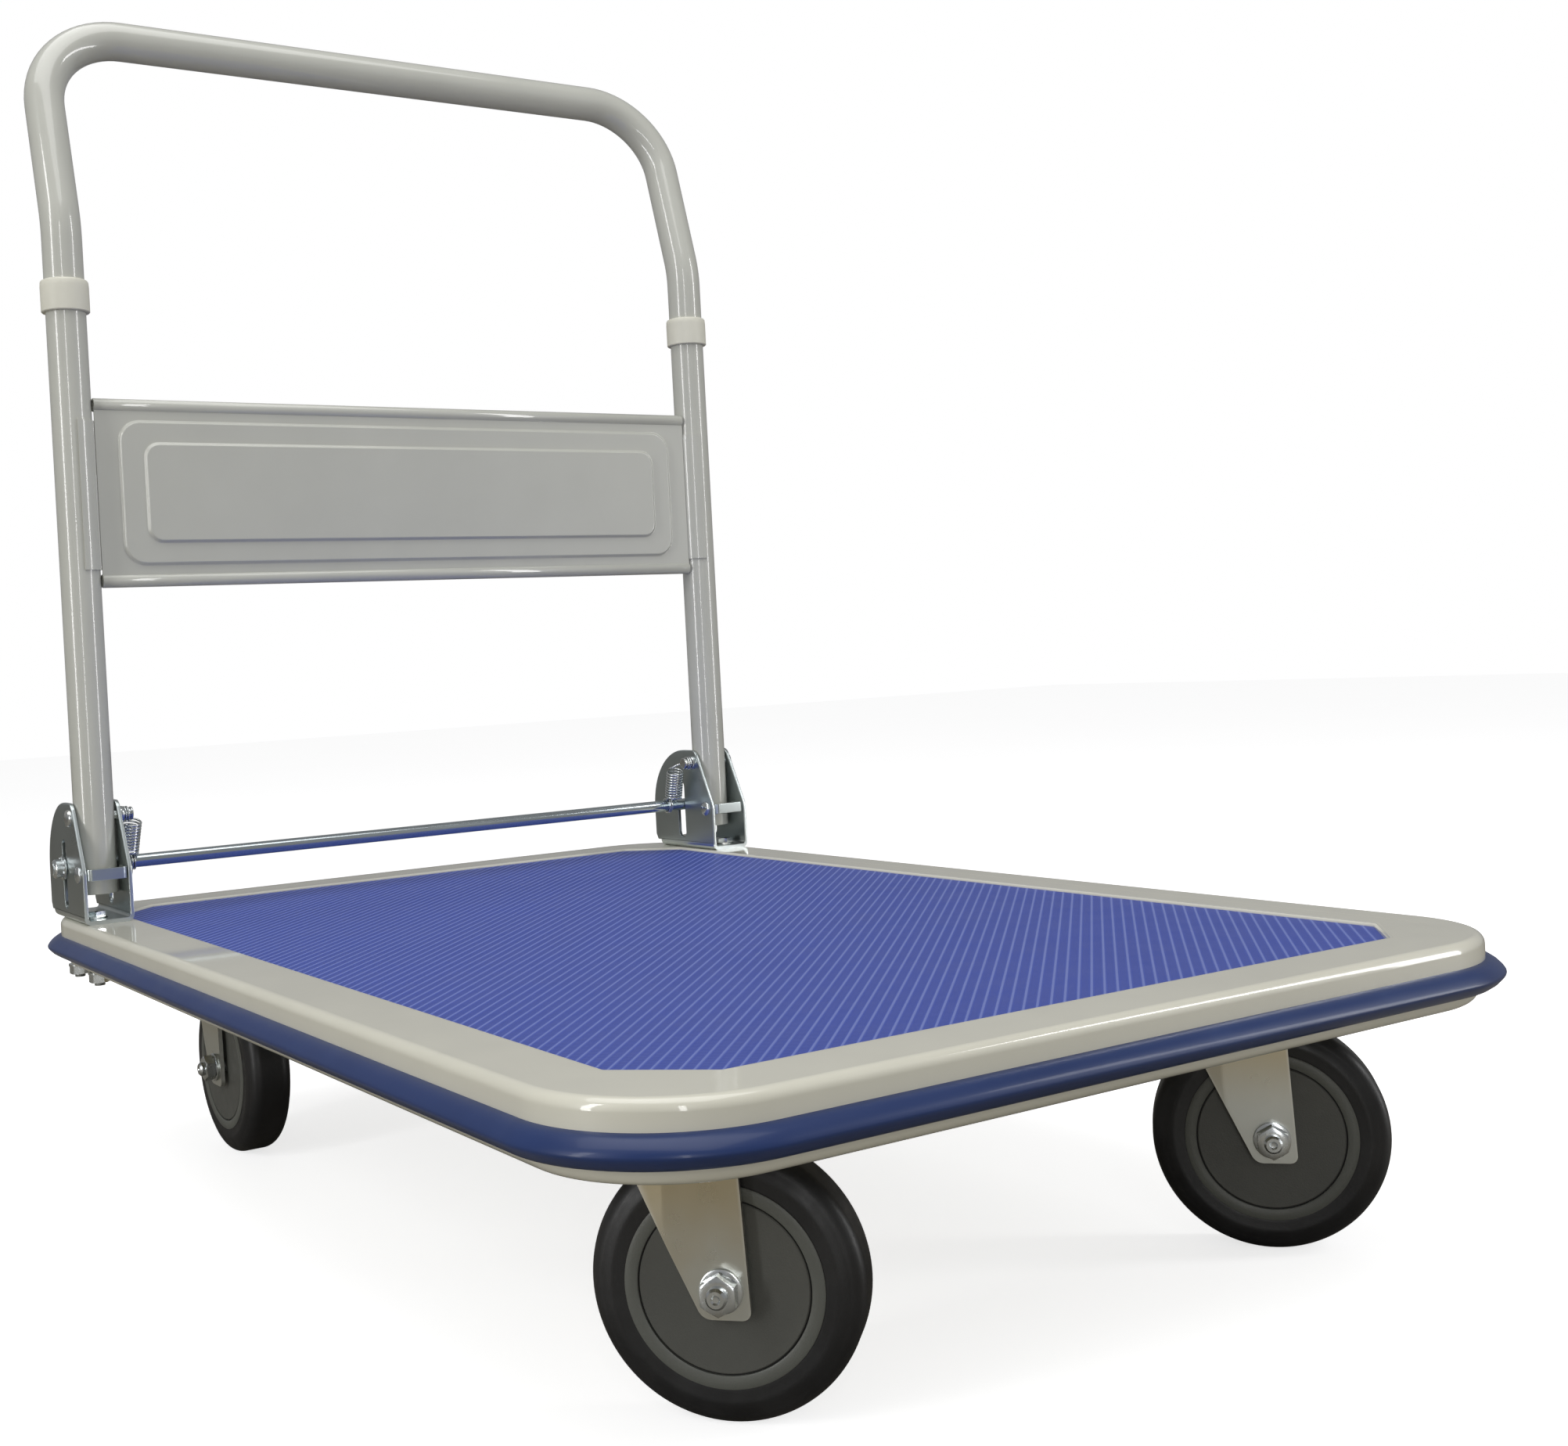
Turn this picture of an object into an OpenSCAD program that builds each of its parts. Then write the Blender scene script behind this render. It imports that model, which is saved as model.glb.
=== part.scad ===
// Folding platform cart: pressed steel deck with an anti-slip mat, a tubular
// push handle that folds down over the deck, two rigid and two swivel casters.
// Units are millimetres, +Z is up, the handle stands at the -X end.

/* [Deck] */
// Length of the steel pan over its rim
deck_l = 880; // [700:10:1200]
// Width of the steel pan over its rim
deck_w = 580; // [450:10:800]
// Height of the rim above the floor
deck_z = 176; // [168:1:220]
// Depth of the pan's side wall
apron_h = 36; // [30:1:60]
// Corner radius of the pan
corner_r = 75; // [40:1:110]
// Thickness of the pan's sheet
sheet_t = 2; // [1.5:0.1:3]
// Distance from the rim to the mat
mat_inset = 40.6; // [25:0.1:60]
// Corner cut of the mat
mat_cut = 36; // [20:1:60]
// Thickness of the mat
mat_t = 2; // [1:0.1:4]
// Depth of the recess that the mat lies in
recess_d = 4; // [2:0.1:6]
// How far the bumper stands out past the rim
bumper_out = 10; // [6:0.5:20]
// Height of the bumper
bumper_h = 15; // [10:0.5:18]

/* [Handle] */
// Outer diameter of the handle tube
tube_d = 28.6; // [22:0.1:38]
// Wall of the handle tube
tube_t = 1.8; // [1.2:0.1:3]
// Distance from the rim's side to a post's axis
post_side = 20; // [15:1:60]
// Distance from the rim's rear end to the posts
post_back = 100; // [70:1:200]
// Height of the crossbar's axis above the rim
handle_h = 665; // [500:5:900]
// Height of the collars' lower ends above the rim
collar_z = 445; // [300:1:600]
// Height of a collar
collar_h = 22; // [10:1:40]
// Outer diameter of a collar
collar_d = 34.5; // [26:0.5:46]
// Height above the rim where the upper tube cranks back
crank_z = 510; // [400:1:700]
// Angle of the crank, away from the deck
crank_a = 16; // [5:1:30]
// Bend radius of the upper corners
bend_r = 64; // [40:1:120]
// Bend radius of the cranks
crank_r = 90; // [40:1:150]

/* [Panel] */
// Height of the lower roll's axis above the rim
panel_z0 = 248; // [120:1:400]
// Height of the upper roll's axis above the rim
panel_z1 = 377.5; // [260:1:430]
// Diameter of the rolled edges
roll_d = 10; // [6:0.5:16]
// Thickness of the panel's sheet
panel_t = 1.2; // [0.8:0.1:2]
// How far the panel lies in front of the posts' axes
panel_x = 6; // [0:0.5:9]
// Depth of one pressed step
emboss_d = 2; // [1:0.1:3]

/* [Hinge] */
// Height of the pivot above the rim
pivot_z = 76; // [60:1:110]
// Thickness of the bracket's sheet
cheek_t = 3; // [2:0.1:5]
// Gap between the tube and a cheek
cheek_gap = 0.5; // [0.3:0.1:2]
// Length of the bracket in front of the pivot
cheek_front = 28.5; // [20:0.5:50]
// Length of the bracket behind the pivot
cheek_back = 67; // [50:0.5:100]
// Height of the knee in the cheek's front edge
knee_z = 39; // [20:1:60]
// Height of the strap's lower edge above the rim
strap_z = 31.5; // [28:0.5:36]
// Height of the strap across the bracket's mouth
strap_h = 8.5; // [7:0.5:14]
// Diameter of the pivot pin
pivot_d = 8; // [6:0.5:12]
// Diameter of the lock rod
rod_d = 10; // [6:0.5:14]
// Height of the lock rod above the rim
rod_z = 38.5; // [30:0.5:60]
// Gap between the lock rod and the tube it holds
rod_gap = 2.2; // [0.5:0.1:6]
// Travel of the lock rod
rod_drop = 24.3; // [10:0.1:30]
// Width of the lock rod's slots
slot_w = 11; // [8:0.5:16]

/* [Casters] */
// Outer diameter of a wheel
wheel_d = 127; // [100:1:130]
// Width of a tyre
wheel_w = 32; // [20:1:45]
// Diameter of the wheel's rim inside the tyre
rim_d = 92; // [70:1:100]
// Distance from the rim's end to a caster's pivot
caster_end = 123; // [80:1:200]
// Distance from the rim's side to a caster's pivot
caster_side = 108; // [60:1:200]
// Distance from a caster's pivot back to its axle
trail = 18; // [10:1:40]
// Thickness of the fork's legs
fork_t = 3; // [2:0.1:5]
// Diameter of the axle bolt
axle_d = 10; // [8:0.5:14]
// Angle that the front casters are turned to
swivel_a = 43.5; // [0:0.5:90]

/* [Hidden] */
z0 = deck_z;
hl = deck_l / 2;
hw = deck_w / 2;
py = hw - post_side;
px = post_back - hl;
post_gap = 2 * py;
caster_x = hl - caster_end;
caster_y = hw - caster_side;
tr = tube_d / 2;
floor_z = z0 - recess_d;
cheek_in = tr + cheek_gap;
cheek_out = cheek_in + cheek_t;
rod_x = px - tr - rod_gap - rod_d / 2;
slot_low = rod_z - rod_drop;
slot_h = 40;
fit = 0.05;
mat_gap = 0.5;
channel_h = 12;
plate_top = floor_z - sheet_t - channel_h;
plate_t = 3;
plate_z = plate_top - plate_t;
plate_l = 96;
plate_w = 80;
plate_hole_x = 76;
plate_hole_y = 60;
race_h = 8;
crown_z = plate_z - race_h - 1;
wheel_r = wheel_d / 2;
fork_in = wheel_w / 2 + 2.5;
fork_out = fork_in + fork_t;
sleeve_r = 7;
support_y0 = hw - mat_inset + mat_gap + sheet_t + 0.1;
support_y1 = py + 13;
support_x0 = px - 53;
support_x1 = px + 28;
bolt_xs = [px + 10, px - 45];
bolt_y = py + 5;
crank_half = crank_r * tan(crank_a / 2);
steel = [0.76, 0.78, 0.79];
paint = [0.70, 0.70, 0.68];
pan_paint = [0.77, 0.77, 0.71];
blue = [0.20, 0.27, 0.55];
grey = [0.30, 0.30, 0.29];
black = [0.10, 0.10, 0.10];

// ---- helpers ----

// Right side as drawn, left side mirrored.
module at_side(s) {
  mirror([0, s < 0 ? 1 : 0, 0]) children();
}

module round_rect(l, w, r) {
  square([l, w - 2 * r], center = true);
  square([l - 2 * r, w], center = true);
  for (x = [-1, 1], y = [-1, 1])
    translate([x * (l / 2 - r), y * (w / 2 - r)]) circle(r, $fn = 64);
}

// A rounded rectangle given as [length, width, radius], drawn in by d.
module inset_rect(r, d) {
  round_rect(r[0] - 2 * d, r[1] - 2 * d, r[2] - d);
}

module octagon(l, w, c) {
  polygon([[l / 2, w / 2 - c], [l / 2 - c, w / 2], [c - l / 2, w / 2], [-l / 2, w / 2 - c],
           [-l / 2, c - w / 2], [c - l / 2, -w / 2], [l / 2 - c, -w / 2], [l / 2, c - w / 2]]);
}

// Sweeps a profile round the pan: x = 0 is the rim's face, y = 0 is its top.
module around() {
  for (s = [-1, 1]) {
    translate([0, s * (hw - corner_r), z0]) rotate([90, 0, 90])
      translate([0, 0, corner_r - hl]) linear_extrude(deck_l - 2 * corner_r)
        mirror([s < 0 ? 1 : 0, 0]) translate([corner_r, 0]) children();
    translate([s * (hl - corner_r), 0, z0]) rotate([90, 0, 0])
      translate([0, 0, corner_r - hw]) linear_extrude(deck_w - 2 * corner_r)
        mirror([s < 0 ? 1 : 0, 0]) translate([corner_r, 0]) children();
  }
  for (q = [0 : 3])
    translate([(q == 0 || q == 3 ? 1 : -1) * (hl - corner_r),
               (q < 2 ? 1 : -1) * (hw - corner_r), z0])
      rotate(q * 90) rotate_extrude(angle = 90, $fn = 96)
        translate([corner_r, 0]) children();
}

module rod_y(d, y0, y1) {
  translate([0, y1, 0]) rotate([90, 0, 0]) cylinder(d = d, h = y1 - y0, $fn = 48);
}

module hex_y(af, y0, y1) {
  translate([0, y1, 0]) rotate([90, 0, 0]) cylinder(d = af / cos(30), h = y1 - y0, $fn = 6);
}

// ---- deck ----

module apron_profile() {
  intersection() {
    difference() {
      translate([-8, -8]) circle(8, $fn = 48);
      translate([-8, -8]) circle(8 - sheet_t, $fn = 48);
    }
    translate([-8, -8]) square(9);
  }
  translate([-sheet_t, -13]) square([sheet_t, 5]);
  translate([-4 - sheet_t, -13]) square([4 + sheet_t, sheet_t]);
  translate([-4 - sheet_t, -apron_h]) square([sheet_t, apron_h - 11]);
  translate([-16, -apron_h]) square([12, sheet_t]);
}

module deck_pan() {
  ml = deck_l - 2 * (mat_inset - mat_gap);
  mw = deck_w - 2 * (mat_inset - mat_gap);
  color(pan_paint) difference() {
    union() {
      around() apron_profile();
      translate([0, 0, z0 - sheet_t]) linear_extrude(sheet_t) difference() {
        round_rect(deck_l - 15.9, deck_w - 15.9, corner_r - 7.95);
        octagon(ml, mw, mat_cut);
      }
      translate([0, 0, floor_z - sheet_t]) linear_extrude(recess_d + sheet_t) difference() {
        octagon(ml + 2 * sheet_t, mw + 2 * sheet_t, mat_cut + 1);
        octagon(ml, mw, mat_cut);
      }
      translate([0, 0, floor_z - sheet_t]) linear_extrude(sheet_t)
        octagon(ml + 2 * sheet_t, mw + 2 * sheet_t, mat_cut + 1);
    }
    for (s = [-1, 1], x = bolt_xs)
      translate([x, s * bolt_y, z0 - apron_h - 1]) cylinder(d = 8.4, h = apron_h + 11, $fn = 32);
  }
}

module anti_slip_mat() {
  color(blue) translate([0, 0, floor_z]) linear_extrude(mat_t)
    octagon(deck_l - 2 * mat_inset, deck_w - 2 * mat_inset, mat_cut);
}

module bumper_strip() {
  r = bumper_h / 2;
  color(blue) around() {
    translate([-4, -13 - bumper_h]) square([bumper_out - r + 4, bumper_h]);
    intersection() {
      translate([bumper_out - r, -13 - r]) circle(r, $fn = 48);
      translate([bumper_out - r - 1, -13 - bumper_h]) square([r + 2, bumper_h]);
    }
  }
}

// A hat-shaped cross member that the casters bolt to.
module cross_channel(s) {
  w = 104;
  l = 2 * (support_y0 - 8);
  top = floor_z - sheet_t;
  color(pan_paint) difference() {
    translate([s * caster_x, 0, 0]) rotate([90, 0, 0]) translate([0, 0, -l / 2]) linear_extrude(l) {
      translate([-w / 2, top - channel_h]) square([w, 2]);
      for (m = [0, 1]) mirror([m, 0]) {
        translate([w / 2 - 2, top - channel_h]) square([2, channel_h]);
        translate([w / 2 - 2, top - 2]) square([14, 2]);
      }
    }
    for (y = [-1, 1]) translate([s * caster_x, y * caster_y, 0]) plate_holes(8.4, 0, z0);
  }
}

module channel_front() {
  cross_channel(1);
}

module channel_rear() {
  cross_channel(-1);
}

// A box section under each hinge bracket that spreads its bolts' load.
module corner_support(s) {
  h = apron_h - 2;
  color(pan_paint) at_side(s) difference() {
    translate([support_x0, support_y0, z0 - apron_h])
      cube([support_x1 - support_x0, support_y1 - support_y0, h]);
    translate([support_x0 - 1, support_y0 + 3, z0 - apron_h + 3])
      cube([support_x1 - support_x0 + 2, support_y1 - support_y0 - 6, h - 6]);
    for (x = bolt_xs) translate([x, bolt_y, z0 - apron_h - 1]) cylinder(d = 8.4, h = h + 2, $fn = 32);
    around() {
      translate([-16, -apron_h - 1]) square([17, sheet_t + 1]);
      translate([-8.2, -apron_h - 1]) square([9, apron_h + 2]);
    }
  }
}

module corner_support_left() {
  corner_support(-1);
}

module corner_support_right() {
  corner_support(1);
}

// ---- hinge brackets ----

// Outline of a cheek, x from the pivot and y from the deck's rim.
function arc(c, r, a0, a1, n) =
  [for (i = [0 : n]) c + r * [cos(a0 + (a1 - a0) * i / n), sin(a0 + (a1 - a0) * i / n)]];

module cheek_outline() {
  top = pivot_z + 11;
  nose_r = 9;
  nose = [-1.5, top - nose_r];
  knee = [cheek_front, knee_z];
  d = norm(knee - nose);
  a = atan2(knee[1] - nose[1], knee[0] - nose[0]) + acos(nose_r / d);
  back_r = top - 35;
  polygon(concat(
    [[-cheek_back, 7], [8 - cheek_back, 0], [cheek_front, 0], knee],
    arc(nose, nose_r, a, 90, 8),
    arc([back_r - cheek_back, 35], back_r, 90, 180, 24)));
}

module cheek() {
  linear_extrude(cheek_t) difference() {
    cheek_outline();
    translate([0, pivot_z]) circle(d = pivot_d + 2 * fit, $fn = 48);
    translate([cheek_front - 10.5, 36]) circle(d = 6, $fn = 32);
    translate([rod_x - px - slot_w / 2, slot_low]) square([slot_w, slot_h]);
    for (z = [slot_low, slot_low + slot_h]) translate([rod_x - px, z]) circle(d = slot_w, $fn = 48);
  }
}

module hinge_bracket(s) {
  color(steel) at_side(s) difference() {
    union() {
      for (y = [py - cheek_in, py + cheek_out])
        translate([px, y, z0]) rotate([90, 0, 0]) cheek();
      translate([px - cheek_back + 8, py - cheek_in, z0])
        cube([cheek_front + cheek_back - 8, 2 * cheek_in, cheek_t]);
    }
    for (x = bolt_xs) translate([x, bolt_y, z0 - 1]) cylinder(d = 8.4, h = 6, $fn = 32);
  }
}

module bracket_left() {
  hinge_bracket(-1);
}

module bracket_right() {
  hinge_bracket(1);
}

// A flat strap across the bracket's mouth that stops the tube, tabs turned in.
module stop_strap(s) {
  x1 = px + cheek_front + 1;
  color(steel) at_side(s) difference() {
    union() {
      translate([x1 - 2.5, py - cheek_in, z0 + strap_z]) cube([2.5, 2 * cheek_in, strap_h]);
      for (y = [py - cheek_in, py + cheek_in - 2])
        translate([x1 - 17, y, z0 + strap_z]) cube([16, 2, strap_h]);
    }
    for (y = [py - cheek_in, py + cheek_in - 2])
      translate([px + cheek_front - 10.5, y - 1, z0 + 36]) rod_y(6, 0, 4);
    translate([px, py, z0 + strap_z - 1]) cylinder(d = tube_d + 0.8, h = strap_h + 2, $fn = 64);
  }
}

module strap_left() {
  stop_strap(-1);
}

module strap_right() {
  stop_strap(1);
}

module strap_rivet(s) {
  color(steel) at_side(s) for (m = [0, 1])
    translate([px + cheek_front - 10.5, py, z0 + 36]) mirror([0, m, 0]) {
    rod_y(6, cheek_in - 2, cheek_out + 1);
    rod_y(11, cheek_out, cheek_out + 2.6);
  }
}

module strap_rivets_left() {
  strap_rivet(-1);
}

module strap_rivets_right() {
  strap_rivet(1);
}

module bracket_bolt(s) {
  color(steel) at_side(s) for (x = bolt_xs) translate([x, bolt_y, z0]) {
    translate([0, 0, cheek_t]) cylinder(d = 13 / cos(30), h = 5.3, $fn = 6);
    translate([0, 0, -apron_h - 10]) cylinder(d = 8, h = apron_h + 14, $fn = 32);
  }
}

module bracket_bolts_left() {
  bracket_bolt(-1);
}

module bracket_bolts_right() {
  bracket_bolt(1);
}

module bracket_nut(s) {
  color(steel) at_side(s) for (x = bolt_xs) translate([x, bolt_y, z0 - apron_h]) difference() {
    union() {
      translate([0, 0, -7.8]) cylinder(d = 13 / cos(30), h = 6.5, $fn = 6);
      translate([0, 0, -1.6]) cylinder(d = 16, h = 1.6, $fn = 32);
    }
    translate([0, 0, -9]) cylinder(d = 8, h = 10, $fn = 32);
  }
}

module bracket_nuts_left() {
  bracket_nut(-1);
}

module bracket_nuts_right() {
  bracket_nut(1);
}

// The pivot pin: rivet head outside, stud with a groove for the spring inside.
module pivot_pin(s) {
  color(steel) at_side(s) translate([px, py, z0 + pivot_z]) {
    rod_y(pivot_d, -cheek_out - 9, cheek_out + 1);
    rod_y(13, cheek_out, cheek_out + 3);
    rod_y(12, -cheek_out - 3, -cheek_out);
    rod_y(10, -cheek_out - 10, -cheek_out - 8);
  }
}

module pivot_pin_left() {
  pivot_pin(-1);
}

module pivot_pin_right() {
  pivot_pin(1);
}

// ---- lock rod and springs ----

module lock_rod() {
  color(steel) translate([rod_x, 0, z0 + rod_z]) rod_y(rod_d, -py - cheek_out - 9, py + cheek_out + 9);
}

module rod_caps() {
  color(steel) for (m = [0, 1]) translate([rod_x, 0, z0 + rod_z]) mirror([0, m, 0]) difference() {
    union() {
      rod_y(18, py + cheek_out + 0.4, py + cheek_out + 2);
      rod_y(14, py + cheek_out + 1.5, py + cheek_out + 8);
    }
    rod_y(rod_d, py, py + cheek_out + 9);
  }
}

// A coil drawn as a ribbed sleeve, leaning from the pivot stud to the lock rod.
module coil_spring(s) {
  lean = atan2(px - rod_x, pivot_z - rod_z);
  len = norm([px - rod_x, pivot_z - rod_z]) - 12;
  coils = 10;
  pitch = len / coils;
  color(steel) at_side(s) translate([rod_x, py - cheek_out - 9.5, z0 + rod_z]) rotate([0, lean, 0])
    translate([0, 0, 6]) rotate_extrude($fn = 48) polygon(concat(
      [[6, len], [6, 0]],
      [for (i = [0 : coils - 1], k = [0, 1]) [7.1 + k * 1.2, (i + k * 0.5) * pitch]],
      [[7.1, len]]));
}

module spring_left() {
  coil_spring(-1);
}

module spring_right() {
  coil_spring(1);
}

// ---- handle ----

module post(s) {
  color(paint) at_side(s) translate([px, py, z0]) difference() {
    translate([0, 0, pivot_z - 45]) cylinder(d = tube_d, h = collar_z - pivot_z + 45, $fn = 64);
    translate([0, 0, pivot_z - 46]) cylinder(d = tube_d - 2 * tube_t, h = collar_z, $fn = 64);
    translate([0, 0, pivot_z]) rod_y(pivot_d + 2 * fit, -tr - 1, tr + 1);
    translate([-tr - 1, -tr - 1, pivot_z - 46]) rotate([90, 0, 0]) translate([0, 0, -tube_d - 4])
      linear_extrude(tube_d + 6) polygon([[0, 0], [tube_d + 1, 0], [tube_d * 0.62, 2.6],
                                          [tube_d * 0.32, 5.6], [1, 10.6], [0, 11]]);
  }
}

module post_left() {
  post(-1);
}

module post_right() {
  post(1);
}

module collar(s) {
  color([0.86, 0.86, 0.82]) at_side(s) translate([px, py, z0 + collar_z]) difference() {
    union() {
      cylinder(d = collar_d, h = collar_h, $fn = 64);
      translate([0, 0, collar_h]) cylinder(d1 = collar_d - 1.5, d2 = collar_d - 4, h = 1.5, $fn = 64);
    }
    translate([0, 0, -1]) cylinder(d = tube_d - 2 * tube_t, h = collar_h + 4, $fn = 64);
  }
}

module collar_left() {
  collar(-1);
}

module collar_right() {
  collar(1);
}

module tube_bend(r, a, d) {
  rotate_extrude(angle = a, $fn = 64) translate([r, 0]) circle(d = d, $fn = 48);
}

// A straight length with a thin core reaching into the bends at its ends.
module straight(d, h, lo, hi) {
  cylinder(d = d, h = h, $fn = 48);
  translate([0, 0, -lo]) cylinder(d = d - 0.5, h = h + lo + hi, $fn = 48);
}

// The upper tube's course: two legs that crank back, two corners and a crossbar.
module loop_bar(d, e) {
  z_start = z0 + collar_z + collar_h + 1.5 - e;
  z_bend = z0 + crank_z - crank_half;
  rise = (handle_h - crank_z) / cos(crank_a);
  for (s = [-1, 1]) translate([px, s * py, 0]) {
    translate([0, 0, z_start]) straight(d, z_bend - z_start, 0, 1);
    translate([-crank_r, 0, z_bend]) rotate([90, 0, 0]) tube_bend(crank_r, crank_a, d);
    translate([0, 0, z0 + crank_z]) rotate([0, -crank_a, 0]) {
      translate([0, 0, crank_half]) straight(d, rise - crank_half - bend_r, 1, 1);
      translate([0, -s * bend_r, rise - bend_r]) rotate([90, 0, 90])
        rotate(s > 0 ? 0 : 90) tube_bend(bend_r, 90, d);
    }
  }
  translate([px, 0, z0 + crank_z]) rotate([0, -crank_a, 0]) translate([0, py - bend_r, rise])
    rotate([90, 0, 0]) straight(d, post_gap - 2 * bend_r, 1, 1);
}

module upper_loop() {
  color(paint) difference() {
    loop_bar(tube_d, 0);
    loop_bar(tube_d - 2 * tube_t, 1);
  }
}

// The sheet panel: two pressed steps, rolled edges and flanges round the posts.
module handle_panel() {
  h = panel_z1 - panel_z0;
  w = post_gap - tube_d;
  zc = z0 + (panel_z0 + panel_z1) / 2;
  flange_r = tr + 0.1;
  a0 = asin(panel_x / flange_r);
  outer = [w - 36, h - 24, 16];
  inner = [w - 72, h - 58, 12];
  color(paint) translate([px, 0, zc]) {
    translate([panel_x, 0, 0]) rotate([90, 0, 90]) {
      linear_extrude(panel_t) difference() {
        square([w, h], center = true);
        inset_rect(outer, panel_t / 2);
      }
      linear_extrude(panel_t) difference() {
        square([post_gap - 2 * flange_r * cos(a0) - panel_t, h - 21], center = true);
        square([w - 20, h], center = true);
      }
      linear_extrude(panel_t + emboss_d) difference() {
        inset_rect(outer, 0);
        inset_rect(outer, panel_t);
      }
      translate([0, 0, emboss_d]) linear_extrude(panel_t) difference() {
        inset_rect(outer, panel_t / 2);
        inset_rect(inner, panel_t / 2);
      }
      translate([0, 0, emboss_d]) linear_extrude(panel_t + emboss_d) difference() {
        inset_rect(inner, 0);
        inset_rect(inner, panel_t);
      }
      translate([0, 0, 2 * emboss_d]) linear_extrude(panel_t) inset_rect(inner, panel_t / 2);
    }
    for (z = [-h / 2, h / 2]) translate([panel_x - roll_d / 2 + panel_t + 0.5, 0, z]) difference() {
      rod_y(roll_d, -w / 2, w / 2);
      rod_y(roll_d - 2 * panel_t, -w / 2 - 1, w / 2 + 1);
    }
    for (s = [-1, 1]) translate([0, s * py, 10 - h / 2]) rotate(s > 0 ? -90 + a0 - 3 : 0)
      rotate_extrude(angle = 93 - a0, $fn = 96) translate([flange_r, 0]) square([panel_t, h - 20]);
  }
}

// ---- casters ----

module plate_holes(d, zlo, zhi) {
  for (x = [-1, 1], y = [-1, 1])
    translate([x * plate_hole_x / 2, y * plate_hole_y / 2, zlo]) cylinder(d = d, h = zhi - zlo, $fn = 32);
}

module caster_plate(sx, sy, swivel) {
  color(steel) translate([sx * caster_x, sy * caster_y, 0]) {
    difference() {
      translate([0, 0, plate_z]) linear_extrude(plate_t) round_rect(plate_l, plate_w, 8);
      plate_holes(8.4, 0, z0);
    }
    if (swivel) {
      translate([0, 0, plate_z - race_h]) cylinder(d1 = 52, d2 = 58, h = race_h, $fn = 64);
      translate([0, 0, crown_z - fork_t - 5]) cylinder(d = 12, h = race_h + fork_t + 6, $fn = 48);
      translate([0, 0, crown_z - fork_t - 5]) cylinder(d = 19, h = 4.5, $fn = 6);
    }
  }
}

module caster_bolts(sx, sy) {
  color(steel) translate([sx * caster_x, sy * caster_y, 0])
    for (x = [-1, 1], y = [-1, 1]) translate([x * plate_hole_x / 2, y * plate_hole_y / 2, 0]) {
      translate([0, 0, plate_top + 2]) cylinder(d = 13 / cos(30), h = 5, $fn = 6);
      translate([0, 0, plate_z - 9]) cylinder(d = 8, h = 17, $fn = 32);
      translate([0, 0, plate_z - 6.5]) cylinder(d = 13 / cos(30), h = 6.5, $fn = 6);
    }
}

// Outline of a fork leg, x from the pivot towards the axle and y from the floor.
module leg_outline(top) {
  difference() {
    union() {
      polygon([[-31, top], [-31, top - 10], [trail - 12, wheel_r - 7], [trail - 5, wheel_r - 13],
               [trail + 9, wheel_r - 13], [trail + 13, wheel_r - 9], [trail + 9, top - 6], [trail + 9, top]]);
      translate([trail - 5, wheel_r - 5]) circle(8, $fn = 32);
    }
    translate([trail, wheel_r]) circle(d = axle_d, $fn = 32);
  }
}

module fork_at(sx, sy, a, top, swivel) {
  color(steel) translate([sx * caster_x, sy * caster_y, 0]) rotate(a) difference() {
    union() {
      for (y = [-fork_in, fork_out]) translate([0, y, 0]) rotate([90, 0, 0])
        linear_extrude(fork_t) leg_outline(top);
      translate([-31, -fork_in, top - fork_t]) cube([trail + 40, 2 * fork_in, fork_t]);
      if (swivel) translate([0, 0, top - fork_t]) cylinder(d = 54, h = fork_t, $fn = 64);
    }
    if (swivel) translate([0, 0, top - 10]) cylinder(d = 12 + 2 * fit, h = 20, $fn = 48);
  }
}

module axle_at(sx, sy, a) {
  color(steel) translate([sx * caster_x, sy * caster_y, wheel_r]) rotate(a) translate([trail, 0, 0]) {
    rod_y(axle_d, -fork_out - 12, fork_out + 1);
    hex_y(16, fork_out, fork_out + 6);
    hex_y(16, -fork_out - 8, -fork_out);
    rod_y(2 * sleeve_r, -fork_in, fork_in);
  }
}

module wheel_place(sx, sy, a) {
  translate([sx * caster_x, sy * caster_y, wheel_r]) rotate(a) translate([trail, 0, 0])
    rotate([90, 0, 0]) children();
}

module tyre_at(sx, sy, a) {
  c = 8;
  color(black) wheel_place(sx, sy, a) rotate_extrude($fn = 128) {
    translate([rim_d / 2, -wheel_w / 2]) square([wheel_r - c - rim_d / 2, wheel_w]);
    translate([rim_d / 2, c - wheel_w / 2]) square([wheel_r - rim_d / 2, wheel_w - 2 * c]);
    for (y = [-1, 1]) translate([wheel_r - c, y * (wheel_w / 2 - c)]) circle(c, $fn = 48);
  }
}

module rim_at(sx, sy, a) {
  color(grey) wheel_place(sx, sy, a) rotate_extrude($fn = 128) {
    translate([rim_d / 2 - 7, -wheel_w / 2 - 0.5]) square([7, wheel_w + 1]);
    translate([12, -4]) square([rim_d / 2 - 14, 8]);
    translate([sleeve_r + fit, -wheel_w / 2]) square([6, wheel_w]);
  }
}

module covers_at(sx, sy, a) {
  color(grey) wheel_place(sx, sy, a) for (m = [0, 1]) mirror([0, 0, m]) rotate_extrude($fn = 96)
    translate([sleeve_r + 1, wheel_w / 2]) square([rim_d / 2 - 8 - sleeve_r - 1, 1.2]);
}

module caster_plate_front_left() { caster_plate(1, -1, true); }
module caster_plate_front_right() { caster_plate(1, 1, true); }
module caster_plate_rear_left() { caster_plate(-1, -1, false); }
module caster_plate_rear_right() { caster_plate(-1, 1, false); }

module caster_bolts_front_left() { caster_bolts(1, -1); }
module caster_bolts_front_right() { caster_bolts(1, 1); }
module caster_bolts_rear_left() { caster_bolts(-1, -1); }
module caster_bolts_rear_right() { caster_bolts(-1, 1); }

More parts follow.
